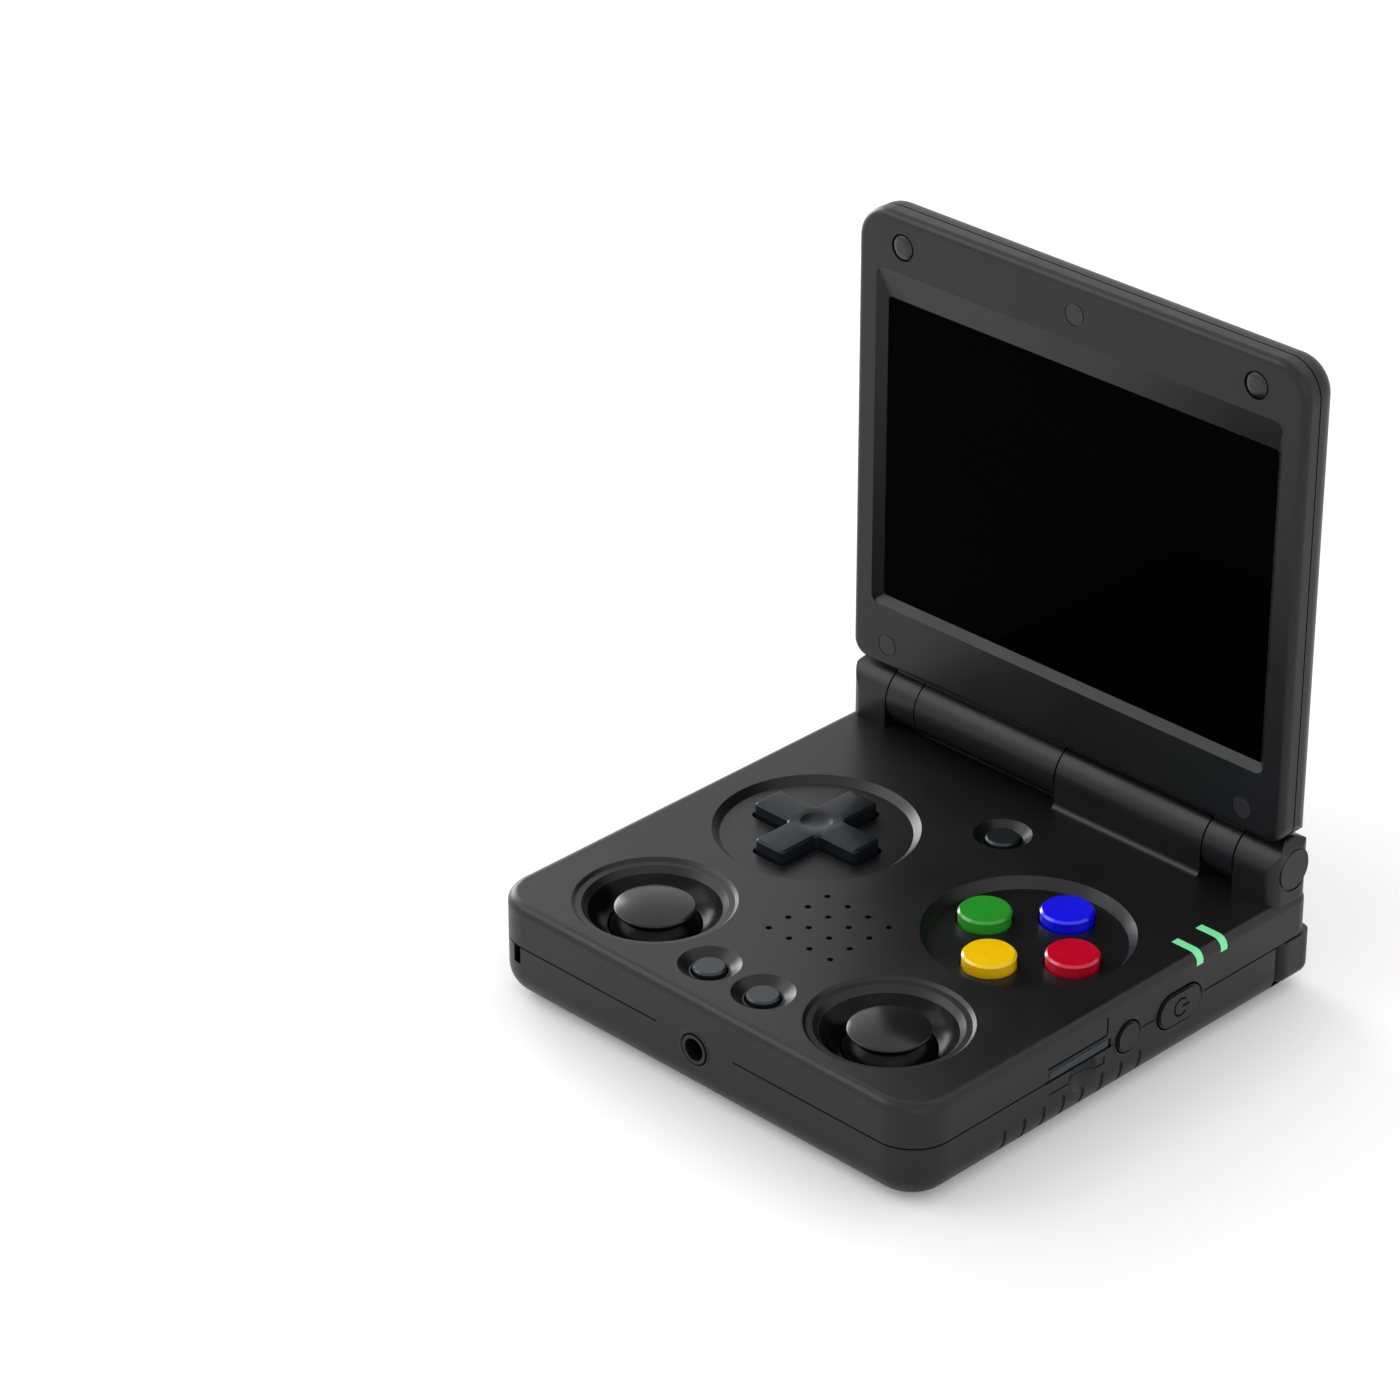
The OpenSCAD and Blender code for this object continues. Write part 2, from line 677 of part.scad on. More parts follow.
module base_bottom_shell() {
  color("dimgray") on_base() difference() {
    union() {
      difference() {
        lower_outer();
        difference() {
          union() {
            translate([0, 0, -base_height + bottom_edge]) linear_extrude(base_height)
              base_plan(wall, back_corner);
            translate([0, 0, floor_z]) linear_extrude(base_height)
              base_plan(wall + 1.1, back_corner);
          }
          pocket_block();
        }
      }
      for (s = [-1, 1]) for (p = [screw_front, screw_rear])
        translate([s * p[0], p[1], -base_height + 1]) cylinder(r = boss_radius + 0.4, h = lower_height - 1);
    }
    for (s = [-1, 1]) {
      for (p = [screw_front, screw_rear]) translate([s * p[0], p[1], -base_height - eps]) {
        cylinder(r = screw_radius + 0.2, h = base_height);
        cylinder(r = 1.9, h = 1.6 + eps);
      }
    }
    shoulder_pockets();
    box(-cover_x, cover_x, cover_y0, cover_y1, -base_height - eps, -base_height + 1);
    box(-cover_x + 1.5, cover_x - 1.5, cover_y0 + 1.5, cover_y1 - 1.5, -base_height, 0);
    for (s = [0, 1]) mirror([s, 0, 0]) for (i = [0 : grip_count - 1])
      translate([0, grip_start + i * grip_pitch, 0]) grip_groove();
    side_cuts();
    jack_cut();
    strap_cut();
    card_cut();
    usb_cut();
    video_cut();
  }
}

module battery_cover() {
  color("dimgray") on_base() union() {
    translate([0, (cover_y0 + cover_y1) / 2, -base_height])
      linear_extrude(1) round_plan(2 * cover_x - 0.3, cover_y1 - cover_y0 - 0.3, 0.8);
    box(-cover_x + 2.2, cover_x - 2.2, cover_y0 + 2.2, cover_y1 - 2.2,
        -base_height + 1 - 0.1, floor_z - 0.1);
  }
}

module battery() {
  color("silver") on_base() translate([0, (battery_y0 + battery_y1) / 2, floor_z])
    linear_extrude(5.9) round_plan(2 * battery_x, battery_y1 - battery_y0, 1);
}

// ---------- parts on and under the keyboard plate ----------

module main_board() {
  color("darkgreen") on_base() translate([0, 0, board_top - board_thickness])
    linear_extrude(board_thickness) difference() {
      union() {
        translate([-half + board_inset, 3]) square([2 * (half - board_inset), board_end - 3]);
        translate([-tongue_half, board_end - 1]) square([2 * tongue_half, tongue_end - board_end + 1]);
      }
      for (s = [-1, 1]) {
        translate([s * stick_x, stick_y]) circle(r = skirt_radius + 1.6);
        translate([s * screw_front[0], screw_front[1]]) circle(r = boss_radius + 0.9);
        translate([s * screw_rear[0], screw_rear[1]]) circle(r = boss_radius + 0.9);
      }
      translate([-jack_half - move_gap, 0]) square([2 * (jack_half + move_gap), jack_length + 0.8]);
      translate([half - socket_reach - 0.5, card_y - socket_half - move_gap])
        square([socket_reach, 2 * (socket_half + move_gap)]);
    }
}

module speaker() {
  color("black") on_base() translate([0, speaker_y - 0.3, 0]) {
    translate([0, 0, -plate - 1.2]) linear_extrude(1.2) difference() {
      round_plan(19, 15, 3);
      round_plan(16.4, 13.2, 2);
    }
    translate([0, 0, -plate - 3.6]) linear_extrude(2.4) round_plan(19, 15, 3);
  }
}

flange_z = -skin_depth - 0.3;
pad_flange_z = -pad_well_depth - well_skin - 1.2;
pad_base = pad_flange_z - 0.7;
spider_z = -5.6;
spider_reach = 3;
spider_pin = 0.5;
lug_gap = 0.35;

// One bevelled bar of the direction pad, lying along Y.
module pad_bar() {
  h = pad_top - pad_base;
  a = pad_arm / 2;
  l = pad_length / 2;
  translate([0, 0, pad_base]) intersection() {
    along_y(-l - eps, l + eps)
      polygon([[-a, 0], [a, 0], [a, h - pad_bevel], [a - pad_bevel, h], [pad_bevel - a, h],
        [-a, h - pad_bevel]]);
    along_x(-a - eps, a + eps)
      polygon([[-l, 0], [l, 0], [l, h - pad_bevel], [l - pad_bevel, h], [pad_bevel - l, h],
        [-l, h - pad_bevel]]);
    linear_extrude(h) round_plan(pad_arm, pad_length, 0.8);
  }
}

module direction_pad() {
  dish_h = 0.45;
  dish_r = (pad_dish * pad_dish / 4 + dish_h * dish_h) / (2 * dish_h);
  color("slategray") on_base() translate([-well_x, well_y, 0]) difference() {
    union() {
      pad_bar();
      rotate([0, 0, 90]) pad_bar();
      translate([0, 0, pad_base]) linear_extrude(pad_top - pad_base - pad_bevel)
        cross_plan(pad_length - 1, pad_arm, 0.8, 0.9);
      translate([0, 0, pad_base]) cylinder(r = pad_length / 2 + 1.1, h = pad_flange_z - pad_base);
      for (s = [-1, 1]) translate([0, s * 2.3, 0]) box(-1, 1, -0.7, 0.7, spider_z - 0.75, pad_base + 0.1);
    }
    translate([0, 0, pad_top + dish_r - dish_h]) sphere(r = dish_r);
    translate([0, 0, spider_z]) rotate([90, 0, 0]) translate([0, 0, -spider_reach - eps])
      cylinder(r = spider_pin + pin_clearance, h = 2 * spider_reach + 2 * eps);
  }
}

module pad_spider() {
  color("silver") on_base() translate([-well_x, well_y, spider_z]) {
    translate([0, 0, -0.6]) cylinder(r = 1.2, h = 1.2);
    bar(-spider_reach, spider_reach, spider_pin);
    rotate([0, 0, 90]) bar(-spider_reach, spider_reach, spider_pin);
  }
}

module pad_seat() {
  color("dimgray") on_base() translate([-well_x, well_y, 0]) difference() {
    union() {
      translate([0, 0, board_top]) cylinder(r = 3.6, h = 0.2);
      for (s = [-1, 1]) translate([s * 2.3, 0, 0]) box(-0.7, 0.7, -1, 1, board_top, spider_z + 0.85);
    }
    translate([0, 0, spider_z]) bar(-spider_reach - eps, spider_reach + eps, spider_pin + pin_clearance);
  }
}

module pad_membrane() {
  color("gainsboro") on_base() translate([-well_x, well_y, board_top]) difference() {
    union() {
      cylinder(r = 12.2, h = sheet_thickness);
      for (k = [0 : 3]) rotate([0, 0, 90 * k]) translate([8, 0, 0]) cylinder(r = 2.2, h = 1.6);
    }
    translate([0, 0, -eps]) cylinder(r = 4, h = 2);
    for (k = [0 : 3]) rotate([0, 0, 90 * k]) translate([8, 0, -eps]) cylinder(r = 1.5, h = 1.5);
  }
}

// Round button: r radius, t top height, b edge bevel.
module round_button(r, t, b, flange) {
  foot = flange_z - 0.9;
  rotate_extrude() polygon([
    [0, foot], [flange, foot], [flange, flange_z], [r, flange_z], [r, t - b], [r - b, t], [0, t]]);
}

module action_button(k) {
  on_base() translate([well_x, well_y, 0]) rotate([0, 0, 90 * k]) translate([action_pitch, 0, 0])
    round_button(action_diameter / 2, action_top, action_bevel, action_diameter / 2 + 1);
}

module action_button_right() {
  color("crimson") action_button(0);
}

module action_button_rear() {
  color("blue") action_button(1);
}

module action_button_left() {
  color("green") action_button(2);
}

module action_button_front() {
  color("gold") action_button(3);
}

module action_membrane() {
  color("gainsboro") on_base() translate([well_x, well_y, board_top]) difference() {
    union() {
      cylinder(r = action_pitch + 3, h = sheet_thickness);
      for (k = [0 : 3]) rotate([0, 0, 90 * k]) translate([action_pitch, 0, 0]) cylinder(r = 2.4, h = 1.5);
    }
    for (k = [0 : 3]) rotate([0, 0, 90 * k]) translate([action_pitch, 0, -eps]) cylinder(r = 1.7, h = 1.5);
  }
}

module small_button(x, y, r) {
  on_base() translate([x, y, 0]) round_button(r, -small_drop, 0.3, r + 0.8);
}

module small_button_left() {
  color("slategray") small_button(-small_x, small_y, small_radius);
}

module small_button_right() {
  color("slategray") small_button(small_x, small_y, small_radius);
}

module function_button() {
  color("slategray") small_button(0, function_y, function_radius);
}

switch_x = half - side_reach - press_gap - 0.3;
prong_y = 4.5;

// Small switches on the board: three under buttons, four behind the side controls.
module tact_switches() {
  color("silver") on_base() {
    for (p = [[-small_x - 0.7, small_y], [small_x + 0.7, small_y], [0, function_y]])
      translate([p[0], p[1], board_top]) {
        box(-1.5, 1.5, -1.5, 1.5, 0, 1.3);
        cylinder(r = 0.7, h = 1.7);
      }
    for (p = [power_y, side_button_y])
      box(switch_x - 3, switch_x, p - 1.8, p + 1.8, board_top, board_top + 2.2);
    for (s = [-1, 1]) translate([-switch_x + 0.2, power_y + prong_y * s, board_top])
      box(0, 2.6, -1.5, 1.5, 0, 1.2);
  }
}

// ---------- thumb sticks ----------

skirt_wall = 1.1;
hub_radius = 2.2;
yoke_in = 2.6;
yoke_out = 4.1;
yoke_half = 1.2;
yoke_pin = 0.65;
post_in = 4.5;
post_out = 6.1;
module_top = pivot_depth + 2.9;

module stick() {
  top = pivot_depth - cap_drop;
  under = top - cap_thickness;
  drum = pivot_depth - 3.7;
  color("dimgray") on_base() translate([0, stick_y, -pivot_depth]) difference() {
    union() {
      rotate_extrude() polygon([
        [0, under - 0.3], [cap_radius - 0.9, under - 0.3], [cap_radius - 0.2, under],
        [cap_radius, under + 0.3], [cap_radius, top - 0.6], [cap_radius - 0.2, top - 0.2],
        [cap_radius - 0.6, top], [0, top]]);
      translate([0, 0, drum]) cylinder(r = 5.1, h = under - drum);
      for (k = [0 : 7]) rotate([0, 0, 22.5 + 45 * k]) box(4.8, 6.1, -0.35, 0.35, drum, under - 0.1);
      difference() {
        sphere(r = skirt_radius);
        sphere(r = skirt_radius - skirt_wall);
        box(-10, 10, -10, 10, -10, 0.2);
        box(-10, 10, -10, 10, drum + 0.2, 10);
      }
      cylinder(r = hub_radius - 0.5, h = drum);
      translate([0, 0, -1]) cylinder(r = hub_radius, h = 2);
      translate([0, 0, drum - 0.6]) cylinder(r = 6.2, h = 0.9);
    }
    translate([0, 0, top + 24 - 0.7]) sphere(r = 24);
    rotate([90, 0, 0]) translate([0, 0, -3]) cylinder(r = yoke_pin + pin_clearance, h = 6);
  }
}

module stick_left() {
  translate([-stick_x, 0, 0]) stick();
}

module stick_right() {
  translate([stick_x, 0, 0]) stick();
}

// Ring that tilts about X and carries the stick on two pins along Y.
module stick_yoke() {
  color("silver") on_base() translate([0, stick_y, -pivot_depth]) {
    difference() {
      translate([0, 0, -yoke_half]) cylinder(r = yoke_out, h = 2 * yoke_half);
      translate([0, 0, -yoke_half - eps]) cylinder(r = yoke_in, h = 2 * yoke_half + 2 * eps);
    }
    for (k = [0, 180]) rotate([0, 0, k]) {
      bar(yoke_out - 0.2, post_out - 0.3, yoke_pin);
      rotate([0, 0, 90]) bar(1, yoke_in + 0.3, yoke_pin);
    }
  }
}

module stick_yoke_left() {
  translate([-stick_x, 0, 0]) stick_yoke();
}

module stick_yoke_right() {
  translate([stick_x, 0, 0]) stick_yoke();
}

module stick_module() {
  color("gray") on_base() translate([0, stick_y, 0]) difference() {
    union() {
      translate([0, 0, floor_z]) linear_extrude(-module_top - floor_z) round_plan(17, 17, 1);
      for (s = [-1, 1])
        box(s * (post_in + post_out) / 2 - 0.8, s * (post_in + post_out) / 2 + 0.8, -1.5, 1.5,
            -module_top - eps, -pivot_depth + yoke_pin + 0.6);
    }
    translate([0, 0, -pivot_depth]) bar(-7, 7, yoke_pin + pin_clearance);
  }
}

module stick_module_left() {
  translate([-stick_x, 0, 0]) stick_module();
}

module stick_module_right() {
  translate([stick_x, 0, 0]) stick_module();
}

// ---------- side controls ----------

module power_button() {
  color("dimgray") on_base() translate([0, power_y, -side_depth]) {
    along_x(half - wall - 0.6, half + side_proud - 0.25) pill_plan(power_length, power_height);
    along_x(half - wall - 0.6, half + side_proud) pill_plan(power_length - 0.5, power_height - 0.5);
    along_x(half - wall - 1.1, half - wall - 0.3) pill_plan(power_length + 1.4, power_height + 1.4);
    along_x(half - side_reach, half - wall - 1) pill_plan(4, 2.4);
  }
}

module side_button() {
  r = side_button_radius;
  color("dimgray") on_base() translate([0, side_button_y, -side_depth]) {
    bar(half - wall - 0.6, half + side_proud - 0.25, r);
    bar(half - wall - 0.6, half + side_proud, r - 0.25);
    bar(half - wall - 1.1, half - wall - 0.3, r + 0.7);
    bar(half - side_reach, half - wall - 1, 1.2);
  }
}

module volume_rocker() {
  color("dimgray") on_base() translate([0, power_y, -side_depth]) difference() {
    union() {
      along_x(-half - side_proud, -half + wall + 1.4) round_plan(rocker_length, rocker_height, 1);
      for (s = [-1, 1])
        along_x(-half + wall + 1.3, -half + side_reach) translate([s * prong_y, 0]) round_plan(2, 2, 0.4);
      translate([-half + wall / 2, 0, -rocker_height / 2 - 0.9])
        cylinder(r = rocker_pin, h = rocker_height + 1.8);
    }
    for (s = [-1, 1]) translate([-half - side_proud, s * 4.2, 0]) box(-eps, 0.25, -0.2, 0.2, -0.9, 0.9);
    translate([-half - side_proud, 0, 0]) {
      translate([0, 4.2, 0]) box(-eps, 0.25, -0.9, 0.9, -0.2, 0.2);
    }
  }
}

module light_strips() {
  color("palegreen") on_base() for (k = [0, 1]) intersection() {
    base_outer(-2.1, 0);
    box(half - 5.1, half + eps, light_y + k * light_pitch - light_width / 2,
        light_y + k * light_pitch + light_width / 2, -2.1, eps);
  }
}

// ---------- shoulder buttons ----------

module shoulder_outer() {
  shoulder_bar(shoulder_split + move_gap / 2, body_width);
}

module shoulder_inner() {
  shoulder_bar(shoulder_end, shoulder_split - move_gap / 2);
}

// Piece of the shoulder bar between two ends.
module shoulder_bar(x0, x1) {
  z0 = pocket_floor + move_gap;
  color("dimgray") on_base() intersection() {
    translate([0, shoulder_start, z0])
      slab(body_width, shoulder_length + shoulder_proud, pocket_top - z0,
           shoulder_corner, shoulder_corner, shoulder_edge, 0);
    box(x0, x1, shoulder_start - eps, base_depth + 2 * shoulder_proud, -base_height, 0);
  }
}

module shoulder_outer_right() {
  shoulder_outer();
}

module shoulder_outer_left() {
  mirror([1, 0, 0]) shoulder_outer();
}

module shoulder_inner_right() {
  shoulder_inner();
}

module shoulder_inner_left() {
  mirror([1, 0, 0]) shoulder_inner();
}

// ---------- ports ----------

module headphone_jack() {
  color("silver") on_base() translate([0, 0, -jack_depth]) difference() {
    union() {
      rotate([-90, 0, 0]) cylinder(r = jack_collar, h = 3);
      box(-jack_half, jack_half, wall + 0.2, jack_length + 0.4, -2.5, 2.4);
    }
    rotate([-90, 0, 0]) translate([0, 0, -eps]) cylinder(r = jack_bore, h = jack_length + eps);
    rotate([-90, 0, 0]) translate([0, 0, -eps]) cylinder(r = jack_bore + 0.35, h = eps + 0.4);
  }
}

module usb_port() {
  color("silver") on_base() translate([-half + port_inset, card_y, port_top - usb_height / 2]) difference() {
    along_x(0, 6) round_plan(usb_width, usb_height, 0.5);
    along_x(-eps, 5.2) round_plan(usb_width - 2 * port_wall, usb_height - 2 * port_wall, 0.4);
  }
}

module video_port() {
  color("silver") on_base() translate([0, base_depth - port_inset, port_top - video_height / 2])
    difference() {
    along_y(-7.4, 0) round_plan(video_width, video_height, 0.5);
    along_y(-6.6, eps) round_plan(video_width - 2 * port_wall, video_height - 2 * port_wall, 0.4);
  }
}

module card_socket() {
  z0 = -seam_depth - 1.2 - card_height;
  color("silver") on_base() difference() {
    box(half - socket_reach, half - wall - 0.2, card_y - socket_half, card_y + socket_half,
        z0 - 0.5, -seam_depth - 0.7);
    box(half - socket_reach + 0.8, half, card_y - card_slot / 2, card_y + card_slot / 2, z0,
      z0 + card_height);
  }
}

foot_radius = 2.4;
foot_front = 16;
foot_rear = base_depth - 10.9;
foot_x = half - 11.5;

module rubber_feet() {
  color("black") on_base() for (s = [-1, 1]) for (y = [foot_front, foot_rear])
    translate([s * foot_x, y, -base_height - foot_height]) cylinder(r = foot_radius, h = foot_height);
}

module base_screws() {
  color("silver") on_base() for (s = [-1, 1]) for (p = [screw_front, screw_rear])
    translate([s * p[0], p[1], -base_height + 0.7]) difference() {
      union() {
        cylinder(r = 1.7, h = 0.9);
        cylinder(r = screw_radius, h = base_height - 4.2);
      }
      translate([-0.2, -1, -eps]) cube([0.4, 2, 0.4 + eps]);
      translate([-1, -0.2, -eps]) cube([2, 0.4, 0.4 + eps]);
    }
}

// ---------- hinge ----------

knuckle_bore_end = knuckle_inner + hinge_gap / 2;

module at_axis() {
  on_base() translate([0, axis_setback, axis_rise]) children();
}

module hinge_caps() {
  color("dimgray") at_axis() for (s = [0, 1]) mirror([s, 0, 0]) {
    bar(ear_outer - cap_depth, ear_outer - 0.25, cap_disc);
    bar(ear_outer - cap_depth, ear_outer - 0.05, cap_disc - 0.25);
  }
}

// Hollow tube for the screen cable, fixed in the base, running in the lid barrel.
module hinge_tube() {
  color("silver") at_axis() difference() {
    bar(-9, clutch_start, tube_radius);
    bar(-9 - eps, clutch_start + eps, tube_bore);
  }
}

module hinge_clutch() {
  x1 = knuckle_inner - hinge_gap / 2;
  color("darkgray") at_axis() difference() {
    bar(clutch_start, x1, clutch_radius);
    bar(clutch_start - eps, x1 + eps, pin_radius + pin_clearance);
    for (k = [1 : 3]) difference() {
      bar(clutch_start + 5 * k - 0.2, clutch_start + 5 * k + 0.2, clutch_radius + 1);
      bar(clutch_start, x1, clutch_radius - 0.3);
    }
  }
}

module hinge_pin_right() {
  color("silver") at_axis() bar(clutch_start + 3, ear_bore_end - 0.3, pin_radius);
}

module hinge_pin_left() {
  color("silver") at_axis() bar(-ear_bore_end + 0.3, -knuckle_inner - 0.5, pin_radius);
}

// ---------- lid ----------

lid_end = axis_setback - lid_setback;
lid_length = lid_end - lid_start;
screen_width = body_width - 2 * screen_side;
screen_height = lid_end - screen_far - screen_start;
web_front = -1.9;
axis_z = -face_drop;
lip = 0.4;
glass_border = 1.2;
glass_top = -recess_depth - 0.05;
glass_back = -recess_depth - glass_thickness;
inner_skin = recess_depth + lip;
cover_inner = -lid_thickness + lid_wall;
plug_top = [0, lid_end - 5.15];
plug_side = [half - 7.7, lid_start + 4.2];
bump_side = [half - 9.5, lid_end - 5.15];
plug_radius = 1.9;
cover_post = 2.55;
bump_radius = 2;
knuckle_x0 = knuckle_inner + hinge_gap / 2;
knuckle_x1 = ear_inner - hinge_gap / 2;

module lid_plan(inset) {
  translate([0, lid_start + inset]) mixed_plan(body_width - 2 * inset, lid_length - 2 * inset,
                                               lid_hinge_corner - inset, lid_corner - inset);
}

module recess_cut() {
  x = screen_width / 2;
  y0 = screen_start;
  y1 = screen_start + screen_height;
  intersection() {
    along_y(0, lid_end)
      polygon([[-x, -recess_depth], [x, -recess_depth], [x + recess_side, 0], [x + recess_side, eps],
               [-x - recess_side, eps], [-x - recess_side, 0]]);
    along_x(-half, half)
      polygon([[y0, -recess_depth], [y1, -recess_depth], [y1 + recess_top, 0], [y1 + recess_top, eps],
               [y0 - recess_bottom, eps], [y0 - recess_bottom, 0]]);
    translate([0, y0 - recess_bottom, -recess_depth - eps]) linear_extrude(2 * recess_depth + 2 * eps)
      mixed_plan(2 * x + 2 * recess_side, screen_height + recess_top + recess_bottom, 1.6, 1.6);
  }
  translate([0, y0, -inner_skin - eps]) linear_extrude(inner_skin)
    mixed_plan(screen_width, screen_height, 0.6, 0.6);
}

module lid_knuckle(x0, x1) {
  translate([0, 0, axis_z]) bar(x0, x1, barrel_radius);
  box(x0, x1, 0, lid_start - 0.15, -lid_thickness + 0.6, web_front);
}

module lid_front_shell() {
  groove_h = seam_groove / 2;
  color("dimgray") on_lid() difference() {
    union() {
      difference() {
        union() {
          translate([0, lid_start, -lid_split + groove_h])
            slab(body_width, lid_length, lid_split - groove_h, lid_hinge_corner, lid_corner,
              0, lid_inner_edge);
          translate([0, 0, -lid_split]) linear_extrude(2 * groove_h) lid_plan(seam_groove);
        }
        translate([0, 0, -lid_split - eps]) linear_extrude(lid_split + eps - inner_skin) lid_plan(lid_wall);
      }
      for (p = [plug_top, plug_side, [-plug_side[0], plug_side[1]]])
        translate([p[0], p[1], -lid_split]) cylinder(r = plug_radius + 1, h = lid_split - 0.5);
      for (s = [0, 1]) mirror([s, 0, 0]) {
        lid_knuckle(knuckle_x0, knuckle_x1);
        box(knuckle_x0, knuckle_x1, 0, lid_start + 2, -lid_split, web_front);
      }
      intersection() {
        union() {
          translate([0, 0, axis_z]) bar(-knuckle_inner + 0.1, -hinge_gap / 2, barrel_radius);
          box(-knuckle_inner + 0.1, -hinge_gap / 2, 0, lid_start + 2, axis_z, web_front);
        }
        box(-knuckle_inner, 0, -2 * barrel_radius, lid_start + 2, -lid_split, barrel_radius);
      }
    }
    recess_cut();
    for (p = [plug_top, plug_side, [-plug_side[0], plug_side[1]]]) translate([p[0], p[1], 0]) {
      translate([0, 0, -1]) cylinder(r = plug_radius, h = 1 + eps);
      translate([0, 0, -1.9]) cylinder(r = 1.6, h = 1);
      translate([0, 0, -lid_split - eps]) cylinder(r = 0.8, h = lid_split);
    }
    for (s = [-1, 1]) translate([s * bump_side[0], bump_side[1], -0.8])
      cylinder(r = bump_radius + 0.25, h = 0.8 + eps);
    translate([0, 0, axis_z]) for (s = [0, 1]) mirror([s, 0, 0])
      bar(knuckle_x0 - eps, knuckle_x1 + eps, pin_radius + 0.02);
    translate([0, 0, axis_z]) lid_barrel_bore();
  }
}

module lid_barrel_bore() {
  bar(-knuckle_inner + 2, -9.4, 4);
  bar(-10, 0, tube_radius + pin_clearance);
}

// What is cut off the cover at the hinge: all below its edge, and two rounded corners.
module cover_trim() {
  r = lid_hinge_corner;
  overrun = 0.03;
  translate([-body_width, lid_start - 20]) square([2 * body_width, 20]);
  for (s = [0, 1]) mirror([s, 0])
    translate([half - r + overrun, lid_start + r - overrun]) difference() {
      translate([0, -r - 1]) square([r + 1, r + 1]);
      circle(r = r);
    }
}

module lid_back_cover() {
  groove_h = seam_groove / 2;
  rim_z = -lid_split - groove_h;
  color("dimgray") on_lid() difference() {
    union() {
      difference() {
        union() {
          difference() {
            translate([0, lid_start - 10, -lid_thickness])
              slab(body_width, lid_length + 10, rim_z + lid_thickness, lid_corner, lid_corner,
                lid_outer_edge, 0);
            translate([0, 0, -lid_thickness - eps]) linear_extrude(lid_thickness) cover_trim();
          }
          translate([0, 0, rim_z - groove_h]) linear_extrude(2 * groove_h) lid_plan(seam_groove);
        }
        translate([0, 0, cover_inner]) linear_extrude(lid_thickness) lid_plan(lid_wall + 0.5);
      }
      for (p = [plug_top, plug_side, [-plug_side[0], plug_side[1]]])
        translate([p[0], p[1], cover_inner - 0.1])
          cylinder(r = cover_post, h = -lid_split - cover_inner + 0.1);
      intersection() {
        union() {
          translate([0, 0, axis_z]) bar(-knuckle_inner + 0.1, -hinge_gap / 2, barrel_radius);
          along_x(-knuckle_inner + 0.1, -hinge_gap / 2)
            polygon([[0, -lid_split], [lid_start + 1, -lid_split], [lid_start + 1, -lid_thickness + 0.9],
                     [lid_start, -lid_thickness + 0.9], [3.6, axis_z - 3.4], [0, axis_z - 3.4]]);
        }
        box(-knuckle_inner, 0, -2 * barrel_radius, lid_start + 2, -4 * barrel_radius, -lid_split);
      }
    }
    for (p = [plug_top, plug_side, [-plug_side[0], plug_side[1]]])
      translate([p[0], p[1], cover_inner + 0.3]) cylinder(r = 0.8, h = lid_thickness);
    translate([0, 0, axis_z]) lid_barrel_bore();
  }
}

module display_glass() {
  color("black") on_lid() translate([0, screen_start, 0]) {
    translate([0, 0.05, -inner_skin - 0.1]) linear_extrude(inner_skin + 0.1 + glass_top)
      mixed_plan(screen_width - 0.1, screen_height - 0.1, 0.55, 0.55);
    translate([0, -glass_border, glass_back - lip]) linear_extrude(glass_thickness)
      mixed_plan(screen_width + 2 * glass_border, screen_height + 2 * glass_border, 1, 1);
  }
}

module display_panel() {
  color("darkslategray") on_lid() translate([0, screen_start + 1, glass_back - lip - panel_thickness])
    linear_extrude(panel_thickness) mixed_plan(screen_width - 2, screen_height - 2, 1, 1);
}

module lid_bumpers() {
  cap = 0.25;
  ball = (bump_radius * bump_radius + cap * cap) / (2 * cap);
  color("black") on_lid() for (s = [-1, 1]) translate([s * bump_side[0], bump_side[1], 0]) {
    translate([0, 0, -0.8]) cylinder(r = bump_radius, h = 0.8);
    intersection() {
      translate([0, 0, cap - ball]) sphere(r = ball);
      cylinder(r = bump_radius, h = 1);
    }
  }
}

module lid_plugs() {
  color("dimgray") on_lid() for (p = [plug_top, plug_side, [-plug_side[0], plug_side[1]]])
    translate([p[0], p[1], -1]) {
      cylinder(r = plug_radius, h = 0.9);
      cylinder(r = plug_radius - 0.2, h = 1);
    }
}

module lid_screws() {
  color("silver") on_lid() for (p = [plug_top, plug_side, [-plug_side[0], plug_side[1]]])
    translate([p[0], p[1], -1.9]) {
      cylinder(r = 1.4, h = 0.7);
      translate([0, 0, cover_inner + 2.4]) cylinder(r = 0.75, h = -cover_inner - 2.4 + 0.1);
    }
}

module lid_magnet() {
  color("silver") on_lid() translate([20, plug_top[1], -inner_skin - 1.2]) cylinder(r = 2, h = 1.2);
}

base_top_shell();
base_bottom_shell();
battery_cover();
battery();
main_board();
speaker();
direction_pad();
pad_spider();
pad_seat();
pad_membrane();
action_button_left();
action_button_rear();
action_button_front();
action_button_right();
action_membrane();
small_button_left();
small_button_right();
function_button();
tact_switches();
stick_left();
stick_right();
stick_yoke_left();
stick_yoke_right();
stick_module_left();
stick_module_right();
power_button();
side_button();
volume_rocker();
shoulder_outer_left();
shoulder_outer_right();
shoulder_inner_left();
shoulder_inner_right();
headphone_jack();
usb_port();
video_port();
card_socket();
light_strips();
rubber_feet();
base_screws();
hinge_caps();
hinge_tube();
hinge_clutch();
hinge_pin_left();
hinge_pin_right();
lid_front_shell();
lid_back_cover();
display_glass();
display_panel();
lid_bumpers();
lid_plugs();
lid_screws();
lid_magnet();
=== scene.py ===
"""Looks for the clamshell handheld game console: finishes, fine detail, light and camera."""
import math

import bmesh
import bpy
from bpy.props import FloatProperty, FloatVectorProperty, PointerProperty
from mathutils import Matrix, Vector


